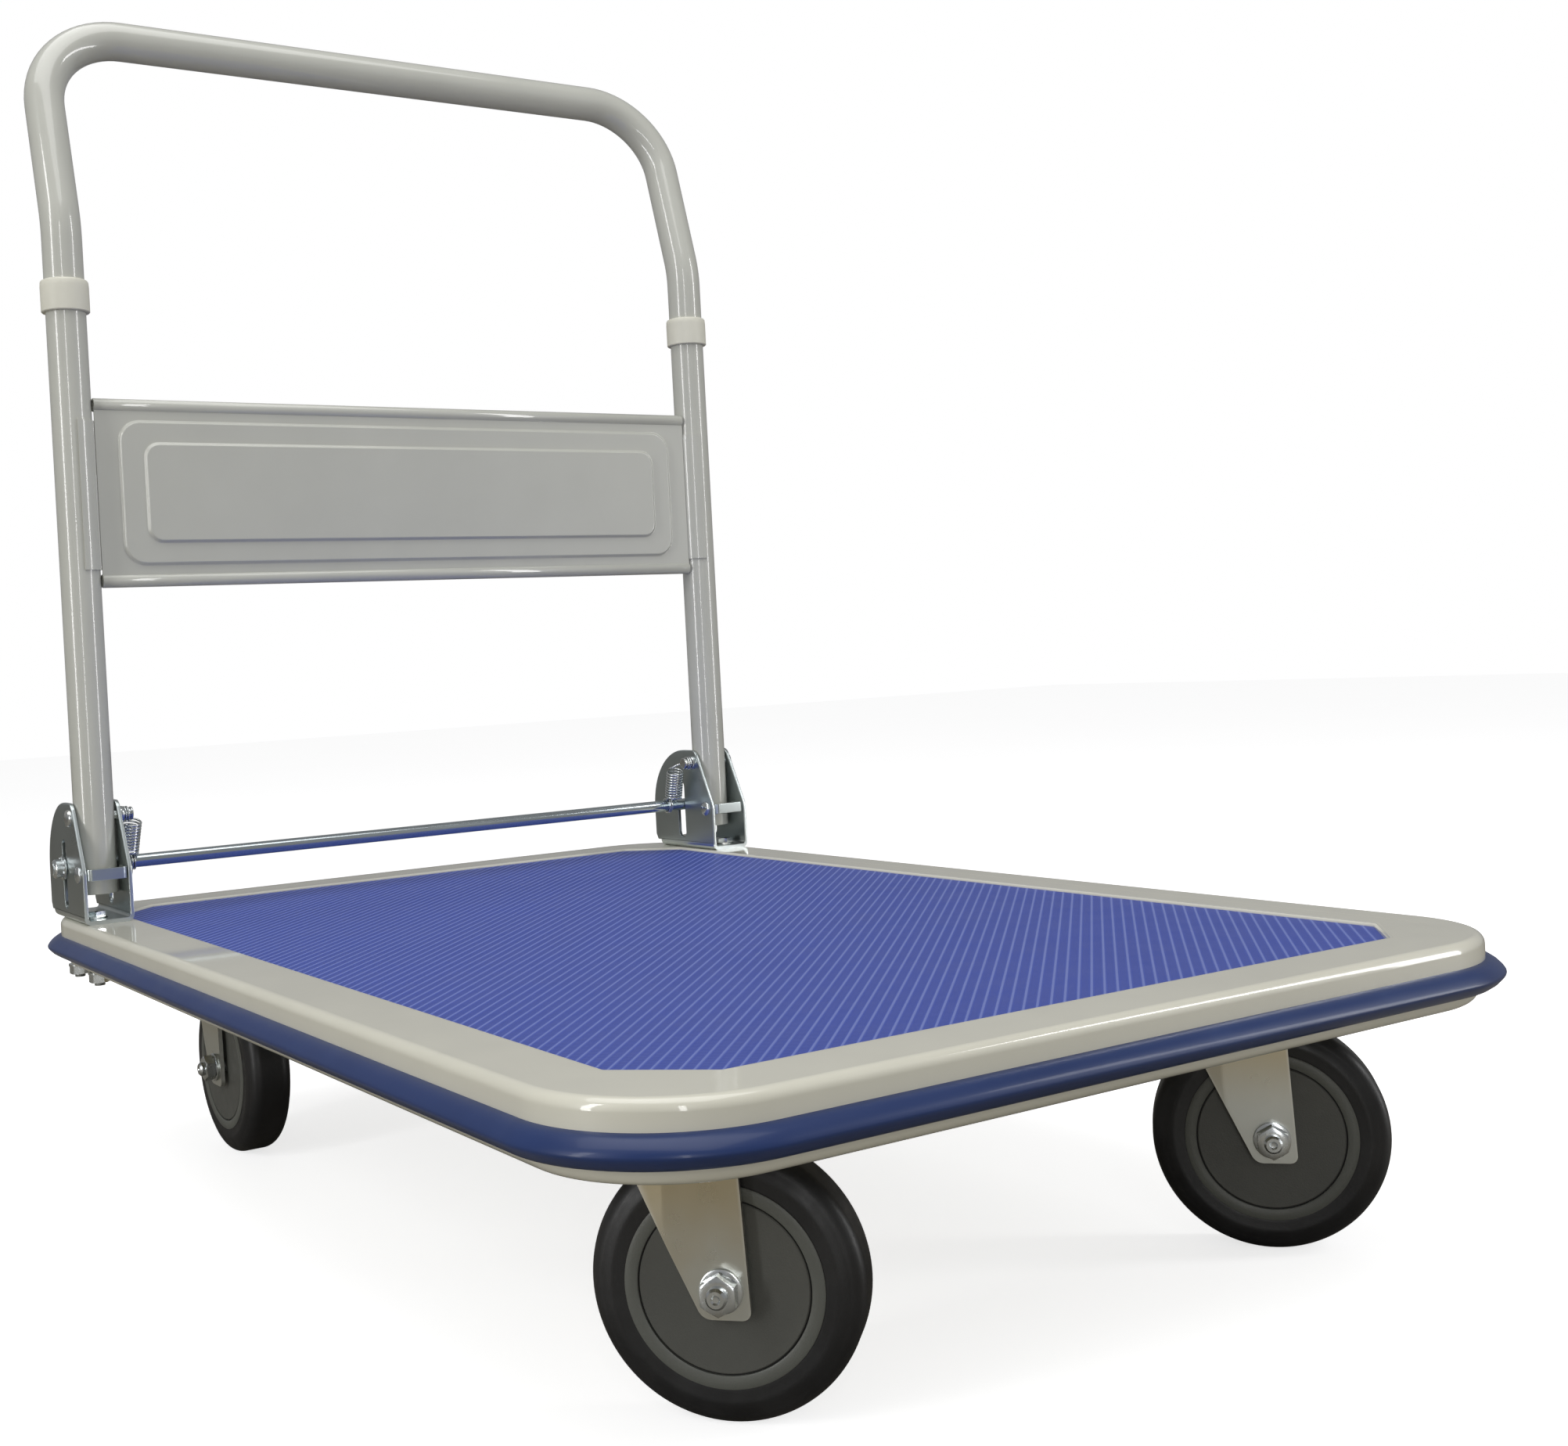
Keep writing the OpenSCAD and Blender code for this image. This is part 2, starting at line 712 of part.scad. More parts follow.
module fork_front_left() { fork_at(1, -1, swivel_a, crown_z, true); }
module fork_front_right() { fork_at(1, 1, swivel_a, crown_z, true); }
module fork_rear_left() { fork_at(-1, -1, 0, plate_z, false); }
module fork_rear_right() { fork_at(-1, 1, 0, plate_z, false); }

module axle_front_left() { axle_at(1, -1, swivel_a); }
module axle_front_right() { axle_at(1, 1, swivel_a); }
module axle_rear_left() { axle_at(-1, -1, 0); }
module axle_rear_right() { axle_at(-1, 1, 0); }

module tyre_front_left() { tyre_at(1, -1, swivel_a); }
module tyre_front_right() { tyre_at(1, 1, swivel_a); }
module tyre_rear_left() { tyre_at(-1, -1, 0); }
module tyre_rear_right() { tyre_at(-1, 1, 0); }

module rim_front_left() { rim_at(1, -1, swivel_a); }
module rim_front_right() { rim_at(1, 1, swivel_a); }
module rim_rear_left() { rim_at(-1, -1, 0); }
module rim_rear_right() { rim_at(-1, 1, 0); }

module hub_covers_front_left() { covers_at(1, -1, swivel_a); }
module hub_covers_front_right() { covers_at(1, 1, swivel_a); }
module hub_covers_rear_left() { covers_at(-1, -1, 0); }
module hub_covers_rear_right() { covers_at(-1, 1, 0); }

deck_pan();
anti_slip_mat();
bumper_strip();
channel_front();
channel_rear();
corner_support_left();
corner_support_right();
bracket_left();
bracket_right();
strap_left();
strap_right();
strap_rivets_left();
strap_rivets_right();
bracket_bolts_left();
bracket_bolts_right();
bracket_nuts_left();
bracket_nuts_right();
pivot_pin_left();
pivot_pin_right();
lock_rod();
rod_caps();
spring_left();
spring_right();
post_left();
post_right();
collar_left();
collar_right();
upper_loop();
handle_panel();
caster_plate_front_left();
caster_plate_front_right();
caster_plate_rear_left();
caster_plate_rear_right();
caster_bolts_front_left();
caster_bolts_front_right();
caster_bolts_rear_left();
caster_bolts_rear_right();
fork_front_left();
fork_front_right();
fork_rear_left();
fork_rear_right();
axle_front_left();
axle_front_right();
axle_rear_left();
axle_rear_right();
tyre_front_left();
tyre_front_right();
tyre_rear_left();
tyre_rear_right();
rim_front_left();
rim_front_right();
rim_rear_left();
rim_rear_right();
hub_covers_front_left();
hub_covers_front_right();
hub_covers_rear_left();
hub_covers_rear_right();
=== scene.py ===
import math

import bmesh
import bpy
from mathutils import Matrix, Vector


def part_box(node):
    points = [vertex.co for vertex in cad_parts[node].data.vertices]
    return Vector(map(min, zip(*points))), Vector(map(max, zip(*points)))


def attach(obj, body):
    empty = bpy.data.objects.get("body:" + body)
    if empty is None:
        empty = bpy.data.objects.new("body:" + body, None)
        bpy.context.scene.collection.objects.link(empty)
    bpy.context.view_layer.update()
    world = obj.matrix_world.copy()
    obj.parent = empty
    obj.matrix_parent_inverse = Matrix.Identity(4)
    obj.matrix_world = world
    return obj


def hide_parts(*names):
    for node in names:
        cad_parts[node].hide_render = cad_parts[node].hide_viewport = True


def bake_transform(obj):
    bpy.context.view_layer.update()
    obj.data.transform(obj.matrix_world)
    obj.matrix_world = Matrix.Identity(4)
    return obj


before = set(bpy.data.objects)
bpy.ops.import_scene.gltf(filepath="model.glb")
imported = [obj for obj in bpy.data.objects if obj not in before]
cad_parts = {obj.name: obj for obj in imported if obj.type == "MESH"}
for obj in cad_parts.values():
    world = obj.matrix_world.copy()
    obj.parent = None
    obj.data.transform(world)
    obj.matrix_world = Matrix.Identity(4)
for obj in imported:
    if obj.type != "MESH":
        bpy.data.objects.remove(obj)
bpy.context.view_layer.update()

# Lengths below are millimetres until piece() turns them into metres.


def mm(node):
    lo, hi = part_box(node)
    return lo * 1000, hi * 1000


Z0 = mm("deck_pan")[1].z
HL = mm("deck_pan")[1].x
HW = mm("deck_pan")[1].y
POST_LO, POST_HI = mm("post_right")
PX = (POST_LO.x + POST_HI.x) / 2
PY = (POST_LO.y + POST_HI.y) / 2
TUBE_R = (POST_HI.y - POST_LO.y) / 2
CORNER_R = 75
MAT_HI = mm("anti_slip_mat")[1]
MAT_CUT = 36
PIVOT_Z = 76
CHEEK_IN = TUBE_R + 0.5
CHEEK_OUT = CHEEK_IN + 3
ROD_X = (mm("lock_rod")[0].x + mm("lock_rod")[1].x) / 2
ROD_Z = (mm("lock_rod")[0].z + mm("lock_rod")[1].z) / 2
WHEEL_R = mm("tyre_rear_left")[1].z / 2
CASTER = (317, 182)
TRAIL = 18
SWIVEL = 43.5
SIDES = (("left", -1), ("right", 1))


# ---- mesh helpers ----

def piece(name, parts, material, body, nodes=(), sharp=32, even=False):
    """Joins (verts, faces) parts into one object that rides on a body."""
    verts, faces = [], []
    for v, f in parts:
        base = len(verts)
        verts += [Vector(p) * 0.001 for p in v]
        faces += [[i + base for i in g] for g in f]
    me = bpy.data.meshes.new(name)
    me.from_pydata(verts, [], faces)
    bm = bmesh.new()
    bm.from_mesh(me)
    bmesh.ops.remove_doubles(bm, verts=bm.verts, dist=1e-6)
    bmesh.ops.recalc_face_normals(bm, faces=bm.faces)
    bm.to_mesh(me)
    bm.free()
    me.shade_smooth()
    obj = bpy.data.objects.new(name, me)
    bpy.context.scene.collection.objects.link(obj)
    me.set_sharp_from_angle(angle=math.radians(sharp))
    if even:
        mod = obj.modifiers.new("even_faces", "WEIGHTED_NORMAL")
        mod.weight = 90
        mod.keep_sharp = True
    me.materials.append(material)
    if body:
        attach(obj, body)
    if nodes:
        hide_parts(*nodes)
    return obj


def moved(part, matrix):
    return [matrix @ Vector(p) for p in part[0]], part[1]


def at(x=0, y=0, z=0, turn=0):
    return Matrix.Translation((x, y, z)) @ Matrix.Rotation(math.radians(turn), 4, "Z")


def along_y(part, x=0, y=0, z=0, flip=False):
    """Turns a part made along Z to lie along Y (or -Y when flipped)."""
    turn = Matrix.Rotation(math.radians(90 if flip else -90), 4, "X")
    return moved(part, Matrix.Translation((x, y, z)) @ turn)


def grid(rows, closed_rows=False, closed_cols=False):
    """Faces between rows of equal length."""
    n = len(rows[0])
    verts = [p for r in rows for p in r]
    faces = []
    for i in range(len(rows) if closed_rows else len(rows) - 1):
        for j in range(n if closed_cols else n - 1):
            a, b = i * n + j, i * n + (j + 1) % n
            c, d = ((i + 1) % len(rows)) * n + (j + 1) % n, ((i + 1) % len(rows)) * n + j
            faces.append([a, b, c, d])
    return verts, faces


def lathe(profile, n=64, closed=False):
    """Turns (radius, z) points about Z. An open profile that ends on the axis closes itself."""
    rows = []
    for k in range(n):
        a = 2 * math.pi * k / n
        rows.append([(r * math.cos(a), r * math.sin(a), z) for r, z in profile])
    if closed:
        return grid(rows, True, True)
    return grid(rows, True)


def sweep(path, profile, closed=False, up=(0, 0, 1)):
    """Carries a closed 2D profile along a path without twist, with caps on open ends."""
    pts = [Vector(p) for p in path]
    n = len(pts)
    tangents = []
    for i in range(n):
        a = pts[(i - 1) % n] if closed or i else pts[0]
        b = pts[(i + 1) % n] if closed or i < n - 1 else pts[-1]
        tangents.append((b - a).normalized())
    side = tangents[0].cross(Vector(up)).normalized()
    rows = []
    for i in range(n):
        if i:
            turn = tangents[i - 1].rotation_difference(tangents[i])
            side = (turn @ side).normalized()
        lift = side.cross(tangents[i]).normalized()
        rows.append([pts[i] + side * u + lift * v for u, v in profile])
    verts, faces = grid(rows, closed, True)
    if not closed:
        m = len(profile)
        faces.append(list(range(m)))
        faces.append([len(verts) - m + j for j in range(m)])
    return verts, faces


def ring(r, n=32):
    turn = 2 * math.pi / n
    return [(r * math.cos(turn * k), r * math.sin(turn * k)) for k in range(n)]


def arc(cx, cy, r, a0, a1, n):
    out = []
    for k in range(n + 1):
        a = math.radians(a0 + (a1 - a0) * k / n)
        out.append((cx + r * math.cos(a), cy + r * math.sin(a)))
    return out


def round_rect(l, w, r, n=10):
    x, y = l / 2 - r, w / 2 - r
    return (arc(x, y, r, 0, 90, n) + arc(-x, y, r, 90, 180, n)
            + arc(-x, -y, r, 180, 270, n) + arc(x, -y, r, 270, 360, n))


def octagon(l, w, c):
    x, y = l / 2, w / 2
    return [(x, y - c), (x - c, y), (c - x, y), (-x, y - c),
            (-x, c - y), (c - x, -y), (x - c, -y), (x, c - y)]


def filleted(points, r, n=6):
    """Rounds every corner of a closed polygon."""
    out = []
    m = len(points)
    for i in range(m):
        p, a, b = Vector(points[i]), Vector(points[i - 1]), Vector(points[(i + 1) % m])
        u, v = (a - p).normalized(), (b - p).normalized()
        half = math.acos(max(-1, min(1, u.dot(v)))) / 2
        rr = r[i] if isinstance(r, (list, tuple)) else r
        d = min(rr / math.tan(half), (a - p).length * 0.49, (b - p).length * 0.49)
        s, e = p + u * d, p + v * d
        for k in range(n + 1):
            t = k / n
            q = s * (1 - t) ** 2 + p * 2 * t * (1 - t) + e * t ** 2
            out.append((q.x, q.y))
    return out


def plate(outlines, z0, z1, edge=0.4):
    """A flat sheet between z0 and z1 with rounded edges; outlines after the first are holes."""
    cu = bpy.data.curves.new("plate", "CURVE")
    cu.dimensions = "2D"
    cu.fill_mode = "BOTH"
    cu.extrude = (z1 - z0) / 2 - edge
    cu.bevel_depth = edge
    cu.bevel_resolution = 1
    cu.offset = -edge
    for line in outlines:
        sp = cu.splines.new("POLY")
        sp.points.add(len(line) - 1)
        for p, q in zip(sp.points, line):
            p.co = (q[0], q[1], 0, 1)
        sp.use_cyclic_u = True
    tmp = bpy.data.objects.new("plate", cu)
    bpy.context.scene.collection.objects.link(tmp)
    bpy.context.view_layer.update()
    me = bpy.data.meshes.new_from_object(tmp.evaluated_get(bpy.context.evaluated_depsgraph_get()))
    verts = [v.co + Vector((0, 0, (z0 + z1) / 2)) for v in me.vertices]
    faces = [list(p.vertices) for p in me.polygons]
    bpy.data.objects.remove(tmp)
    bpy.data.curves.remove(cu)
    bpy.data.meshes.remove(me)
    return verts, faces


def upright(part, x=0, y=0, z=0):
    """Stands a plate made in XY up into XZ, its thickness along +Y."""
    turn = Matrix(((1, 0, 0, 0), (0, 0, 1, 0), (0, 1, 0, 0), (0, 0, 0, 1)))
    return moved(part, Matrix.Translation((x, y, z)) @ turn)


def hexagon(af, z0, z1, bore=0.0, chamfer=0.5):
    """A nut or bolt head with the turned chamfer of a real one."""
    n = 48
    loops = [[], [], [], []]
    for k in range(n):
        a = 2 * math.pi * k / n
        r = af / 2 / math.cos((a + math.pi / 6) % (math.pi / 3) - math.pi / 6)
        flat = min(r, af * 0.485)
        drop = (r - flat) * chamfer
        c, s = math.cos(a), math.sin(a)
        loops[0].append((flat * c, flat * s, z0))
        loops[1].append((r * c, r * s, z0 + drop))
        loops[2].append((r * c, r * s, z1 - drop))
        loops[3].append((flat * c, flat * s, z1))
    verts, faces = grid(loops, False, True)
    if bore:
        base = len(verts)
        for z in (z0, z1):
            verts += [(x, y, z) for x, y in ring(bore, n)]
        for k in range(n):
            j = (k + 1) % n
            faces.append([k, j, base + j, base + k])
            faces.append([3 * n + k, 3 * n + j, base + n + j, base + n + k])
            faces.append([base + k, base + j, base + n + j, base + n + k])
    else:
        faces.append(list(range(n)))
        faces.append([3 * n + k for k in range(n)])
    return verts, faces


def bolt_tip(r, z0, z1):
    """A shank with a chamfered end and a small dimple."""
    return lathe([(0, z0), (r, z0), (r, z1 - 1.2), (r - 1.1, z1),
                  (r * 0.45, z1), (r * 0.3, z1 - 0.7), (0, z1 - 0.9)], 32)


def thread(r, z0, z1, pitch=1.25):
    """Ribs standing for a thread on a bolt's shank."""
    profile = [(0, z0)]
    z = z0
    while z < z1 - pitch:
        profile += [(r - 0.35, z), (r, z + pitch * 0.5)]
        z += pitch
    profile += [(r - 0.35, z), (r - 0.9, z1), (0, z1)]
    return lathe(profile, 24)


def button(r, h, z0=0.0):
    """A domed rivet head."""
    dome = []
    for a in range(10, 90, 10):
        t = math.radians(a)
        dome.append((r * math.cos(t), z0 + 0.5 + (h - 0.5) * math.sin(t)))
    return lathe([(0, z0), (r, z0), (r, z0 + 0.5)] + dome + [(0, z0 + h)], 40)


# ---- materials ----

def surface(name, color, rough, metal=0.0, tones=0.08, size=18.0, smudge=0.08,
            grain=0.0, grain_size=900.0, coat=0.0, coat_rough=0.08, tint=None, tint_size=9.0,
            painted_edge_highlight=None, fade=None, spec=0.5, stretch=(1, 1, 1)):
    """A procedural material: two tones, smudges, and where given a tint, a fade with height,
    a painted highlight that lightens convex edges, and a fine grain. tint and the painted edge
    highlight are (r, g, b, amount); fade is (r, g, b, from height, to height, amount)."""
    m = bpy.data.materials.new(name)
    m.use_nodes = True
    nt = m.node_tree
    out, link = nt.nodes["Principled BSDF"], nt.links.new
    out.inputs["Metallic"].default_value = metal
    out.inputs["Specular IOR Level"].default_value = spec
    out.inputs["Coat Weight"].default_value = coat
    out.inputs["Coat Roughness"].default_value = coat_rough
    place = nt.nodes.new("ShaderNodeTexCoord").outputs["Object"]
    scaled = nt.nodes.new("ShaderNodeMapping")
    scaled.inputs["Scale"].default_value = stretch
    link(place, scaled.inputs["Vector"])

    def noise(scale, detail=4.0, where=scaled.outputs["Vector"]):
        n = nt.nodes.new("ShaderNodeTexNoise")
        n.inputs["Scale"].default_value = scale
        n.inputs["Detail"].default_value = detail
        link(where, n.inputs["Vector"])
        return n.outputs["Fac"]

    ramp = nt.nodes.new("ShaderNodeValToRGB")
    ramp.color_ramp.elements[0].position = 0.3
    ramp.color_ramp.elements[1].position = 0.7
    ramp.color_ramp.elements[0].color = [c * (1 - tones) for c in color] + [1]
    ramp.color_ramp.elements[1].color = [min(1, c * (1 + tones)) for c in color] + [1]
    link(noise(size), ramp.inputs["Fac"])
    colour = ramp.outputs["Color"]

    def over(colour, other, fac):
        mix = nt.nodes.new("ShaderNodeMix")
        mix.data_type = "RGBA"
        link(fac, mix.inputs["Factor"])
        link(colour, mix.inputs["A"])
        mix.inputs["B"].default_value = [*other, 1]
        return mix.outputs["Result"]

    def steps(fac, lo, hi, to):
        r = nt.nodes.new("ShaderNodeMapRange")
        r.interpolation_type = "SMOOTHSTEP"
        for key, v in zip(("From Min", "From Max", "To Min", "To Max"), (lo, hi, 0, to)):
            r.inputs[key].default_value = v
        link(fac, r.inputs["Value"])
        return r.outputs["Result"]

    if tint:
        colour = over(colour, tint[:3], steps(noise(tint_size, 5.0), 0.46, 0.66, tint[3]))
    if fade:
        split = nt.nodes.new("ShaderNodeSeparateXYZ")
        link(place, split.inputs["Vector"])
        colour = over(colour, fade[:3], steps(split.outputs["Z"], *fade[3:]))
    # Painted highlight: convex edges (by pointiness) are lightened where bevels would catch light.
    if painted_edge_highlight:
        edges = nt.nodes.new("ShaderNodeNewGeometry").outputs["Pointiness"]
        colour = over(colour, painted_edge_highlight[:3], steps(edges, 0.52, 0.6, painted_edge_highlight[3]))
    link(colour, out.inputs["Base Color"])
    span = nt.nodes.new("ShaderNodeMapRange")
    for key, v in zip(("From Min", "From Max", "To Min", "To Max"),
                      (0.3, 0.7, max(0.02, rough - smudge), min(1, rough + smudge))):
        span.inputs[key].default_value = v
    link(noise(size * 2.7, 6.0), span.inputs["Value"])
    link(span.outputs["Result"], out.inputs["Roughness"])
    if grain:
        bump = nt.nodes.new("ShaderNodeBump")
        bump.inputs["Strength"].default_value = grain
        bump.inputs["Distance"].default_value = 0.0003
        link(noise(grain_size, 3.0), bump.inputs["Height"])
        link(bump.outputs["Normal"], out.inputs["Normal"])
    return m


PAN = surface("pan_paint", (0.72, 0.705, 0.60), 0.36, tones=0.02, smudge=0.05,
              grain=0.06, grain_size=200, coat=1.0, coat_rough=0.05,
              tint=(0.65, 0.63, 0.53, 0.2), tint_size=5)
PAINT = surface("handle_paint", (0.53, 0.535, 0.485), 0.36, tones=0.02, smudge=0.05,
                grain=0.05, grain_size=260, coat=1.0, coat_rough=0.045,
                tint=(0.49, 0.495, 0.45, 0.2), tint_size=7)
# The two zinc materials paint a highlight onto convex edges.
ZINC = surface("zinc", (0.47, 0.52, 0.525), 0.30, 1.0, tones=0.03, size=12, smudge=0.03,
               grain=0.02, grain_size=500, tint=(0.40, 0.45, 0.43, 0.4), tint_size=9,
               painted_edge_highlight=(0.75, 0.8, 0.8, 0.7))
ZINC_GOLD = surface("zinc_gold", (0.70, 0.72, 0.68), 0.30, 1.0, tones=0.04, size=16, smudge=0.04,
                    grain=0.03, grain_size=500, tint=(0.62, 0.55, 0.40, 0.6), tint_size=9,
                    painted_edge_highlight=(0.85, 0.85, 0.8, 0.6), fade=(0.58, 0.48, 0.28, 0.075, 0.125, 0.85))
BOLT = surface("bolt_zinc", (0.66, 0.69, 0.70), 0.22, 1.0, tones=0.12, size=90, smudge=0.08,
               grain=0.05, tint=(0.70, 0.64, 0.50, 0.3), tint_size=60)
ROD = surface("rod_steel", (0.55, 0.61, 0.64), 0.15, 1.0, tones=0.05, size=40, smudge=0.05,
              grain=0.04, stretch=(1, 0.1, 1))
BUMPER = surface("bumper_vinyl", (0.016, 0.036, 0.130), 0.36, tones=0.08, size=9, smudge=0.05,
                 grain=0.03, grain_size=60, coat=0.15, coat_rough=0.1,
                 tint=(0.024, 0.050, 0.160, 0.5), tint_size=12, spec=0.3)
COLLAR = surface("collar_plastic", (0.70, 0.69, 0.60), 0.48, tones=0.04, size=40, smudge=0.08,
                 grain=0.15)
TYRE = surface("tyre_rubber", (0.012, 0.012, 0.013), 0.42, tones=0.25, size=30, smudge=0.08,
               grain=0.25, grain_size=500, tint=(0.03, 0.03, 0.03, 0.4), tint_size=24)
HUB = surface("hub_plastic", (0.092, 0.094, 0.084), 0.46, tones=0.06, size=30, smudge=0.06,
              grain=0.35, grain_size=1200, tint=(0.12, 0.12, 0.105, 0.35), tint_size=18)
HUB_RING = surface("hub_ring", (0.125, 0.13, 0.115), 0.44, tones=0.05, size=30, smudge=0.06,
                   grain=0.35, grain_size=1200)
# Painted shade: a near-black material for the thin ring sunk between rim and disc, standing in for the
# shade in that groove.
GROOVE_SHADE = surface("hub_groove_shade", (0.012, 0.012, 0.012), 0.6, tones=0.1, smudge=0.05, grain=0.1)


def mat_material():
    """Blue vinyl with paler ribs and rows of fine dashes pressed between them."""
    m = surface("mat_vinyl", (0.040, 0.078, 0.40), 0.46, tones=0.02, size=14, smudge=0.04)
    nt = m.node_tree
    out, link = nt.nodes["Principled BSDF"], nt.links.new
    place = nt.nodes.new("ShaderNodeTexCoord").outputs["Object"]

    def stripes(direction, pitch):
        dot = nt.nodes.new("ShaderNodeVectorMath")
        dot.operation = "DOT_PRODUCT"
        k = 2 * math.pi / pitch / math.sqrt(2)
        dot.inputs[1].default_value = (direction[0] * k, direction[1] * k, 0)
        link(place, dot.inputs[0])
        cos = nt.nodes.new("ShaderNodeMath")
        cos.operation = "COSINE"
        link(dot.outputs["Value"], cos.inputs[0])
        return cos.outputs[0]

    def ramp(value, lo, hi, a, b):
        r = nt.nodes.new("ShaderNodeMapRange")
        r.interpolation_type = "SMOOTHSTEP"
        for key, v in zip(("From Min", "From Max", "To Min", "To Max"), (lo, hi, a, b)):
            r.inputs[key].default_value = v
        link(value, r.inputs["Value"])
        return r.outputs["Result"]

    def times(a, b):
        mul = nt.nodes.new("ShaderNodeMath")
        mul.operation = "MULTIPLY"
        link(a, mul.inputs[0])
        link(b, mul.inputs[1])
        return mul.outputs[0]

    rib = stripes((1, 1), 0.0062)
    dash = times(ramp(stripes((-1, 1), 0.0021), -0.2, 0.7, 0, 1), ramp(rib, -0.1, 0.4, 1, 0))
    old = out.inputs["Base Color"].links[0].from_socket
    pale_rib = ramp(rib, 0.66, 0.92, 0, 0.75)
    dark_dash = ramp(dash, 0, 1, 0, 0.45)
    for fac, tone in ((pale_rib, (0.19, 0.245, 0.58)), (dark_dash, (0.02, 0.035, 0.23))):
        mix = nt.nodes.new("ShaderNodeMix")
        mix.data_type = "RGBA"
        link(fac, mix.inputs["Factor"])
        link(old, mix.inputs["A"])
        mix.inputs["B"].default_value = (*tone, 1)
        old = mix.outputs["Result"]
    link(old, out.inputs["Base Color"])
    bump = nt.nodes.new("ShaderNodeBump")
    bump.inputs["Strength"].default_value = 0.6
    bump.inputs["Distance"].default_value = 0.0004
    bump.invert = True
    link(dash, bump.inputs["Height"])
    link(bump.outputs["Normal"], out.inputs["Normal"])
    return m


MAT = mat_material()


# ---- camera, floor and light ----

def camera():
    az, el, roll = 2.57967, -0.00843832, -0.0533965
    fwd = Vector((math.cos(el) * math.cos(az), math.cos(el) * math.sin(az), math.sin(el)))
    r = fwd.cross(Vector((0, 0, 1))).normalized()
    u = r.cross(fwd)
    right = r * math.cos(roll) + u * math.sin(roll)
    up = u * math.cos(roll) - r * math.sin(roll)
    cam = bpy.data.cameras.new("camera")
    cam.sensor_width = 36
    cam.lens = 2352.263 / 2004 * 36
    cam.shift_x = 139.972 / 2004
    cam.shift_y = -62.811 / 2004
    cam.clip_end = 50
    obj = bpy.data.objects.new("camera", cam)
    bpy.context.scene.collection.objects.link(obj)
    m = Matrix.Identity(4)
    for i in range(3):
        m[i][0], m[i][1], m[i][2] = right[i], up[i], -fwd[i]
    m.translation = (1.030758, -0.624255, 0.345087)
    obj.matrix_world = m
    bpy.context.scene.camera = obj


camera()


def area(name, where, target, size, power):
    li = bpy.data.lights.new(name, "AREA")
    li.shape = "RECTANGLE"
    li.size, li.size_y = size
    li.energy = power
    obj = bpy.data.objects.new(name, li)
    bpy.context.scene.collection.objects.link(obj)
    obj.location = where
    obj.rotation_euler = (Vector(target) - Vector(where)).to_track_quat("-Z", "Y").to_euler()
    return obj


area("top_softbox", (0.2, -0.3, 2.6), (0, 0, 0.2), (2.6, 2.0), 34)
area("strip_right", (1.7, 2.1, 1.1), (-0.3, 0.2, 0.4), (0.32, 2.4), 24)
area("strip_left", (0.3, -2.5, 1.1), (-0.3, -0.2, 0.4), (0.32, 2.4), 24)
area("strip_front", (3.1, -1.7, 1.2), (-0.3, -0.2, 0.4), (0.25, 2.4), 16)


def backdrop():
    """White where the camera looks past the cart, dimmer as a light on the cart."""
    world = bpy.data.worlds.new("world")
    bpy.context.scene.world = world
    world.use_nodes = True
    nt = world.node_tree
    dim = nt.nodes["Background"]
    dim.inputs["Color"].default_value = (1, 1, 1, 1)
    dim.inputs["Strength"].default_value = 0.27
    white = nt.nodes.new("ShaderNodeBackground")
    white.inputs["Color"].default_value = (1, 1, 1, 1)
    mix = nt.nodes.new("ShaderNodeMixShader")
    nt.links.new(nt.nodes.new("ShaderNodeLightPath").outputs["Is Camera Ray"], mix.inputs[0])
    nt.links.new(dim.outputs[0], mix.inputs[1])
    nt.links.new(white.outputs[0], mix.inputs[2])
    nt.links.new(mix.outputs[0], nt.nodes["World Output"].inputs[0])


backdrop()
bpy.context.scene.view_settings.view_transform = "Standard"

def floor_material():
    """White for the camera, but grey as a surface that throws light back up at the cart."""
    m = surface("floor", (0.86, 0.86, 0.865), 0.6, tones=0.01, size=2, smudge=0.05)
    nt = m.node_tree
    out, link = nt.nodes["Principled BSDF"], nt.links.new
    seen = nt.nodes.new("ShaderNodeLightPath").outputs["Is Camera Ray"]
    glow = nt.nodes.new("ShaderNodeMath")
    glow.operation = "MULTIPLY"
    glow.inputs[1].default_value = 0.72
    link(seen, glow.inputs[0])
    out.inputs["Emission Color"].default_value = (1, 1, 1, 1)
    link(glow.outputs[0], out.inputs["Emission Strength"])
    mix = nt.nodes.new("ShaderNodeMix")
    mix.data_type = "RGBA"
    mix.inputs["A"].default_value = (0.27, 0.25, 0.21, 1)
    link(seen, mix.inputs["Factor"])
    link(out.inputs["Base Color"].links[0].from_socket, mix.inputs["B"])
    link(mix.outputs["Result"], out.inputs["Base Color"])
    return m


floor_mat = floor_material()
FLOOR = 9000
square = [(-FLOOR, -FLOOR, 0), (FLOOR, -FLOOR, 0), (FLOOR, FLOOR, 0), (-FLOOR, FLOOR, 0)]
floor = piece("floor", [(square, [[0, 1, 2, 3]])], floor_mat, None)


# ---- deck ----

def around(profile):
    """Carries (out, up) points round the pan's rim."""
    rows = []
    n = 24
    for cx, cy, a0 in ((1, 1, 0), (-1, 1, 90), (-1, -1, 180), (1, -1, 270)):
        for k in range(n + 1):
            a = math.radians(a0 + 90 * k / n)
            c, s = math.cos(a), math.sin(a)
            bx, by = cx * (HL - CORNER_R), cy * (HW - CORNER_R)
            rows.append([(bx + (CORNER_R + o) * c, by + (CORNER_R + o) * s, Z0 + u) for o, u in profile])
    return grid(rows, True, True)


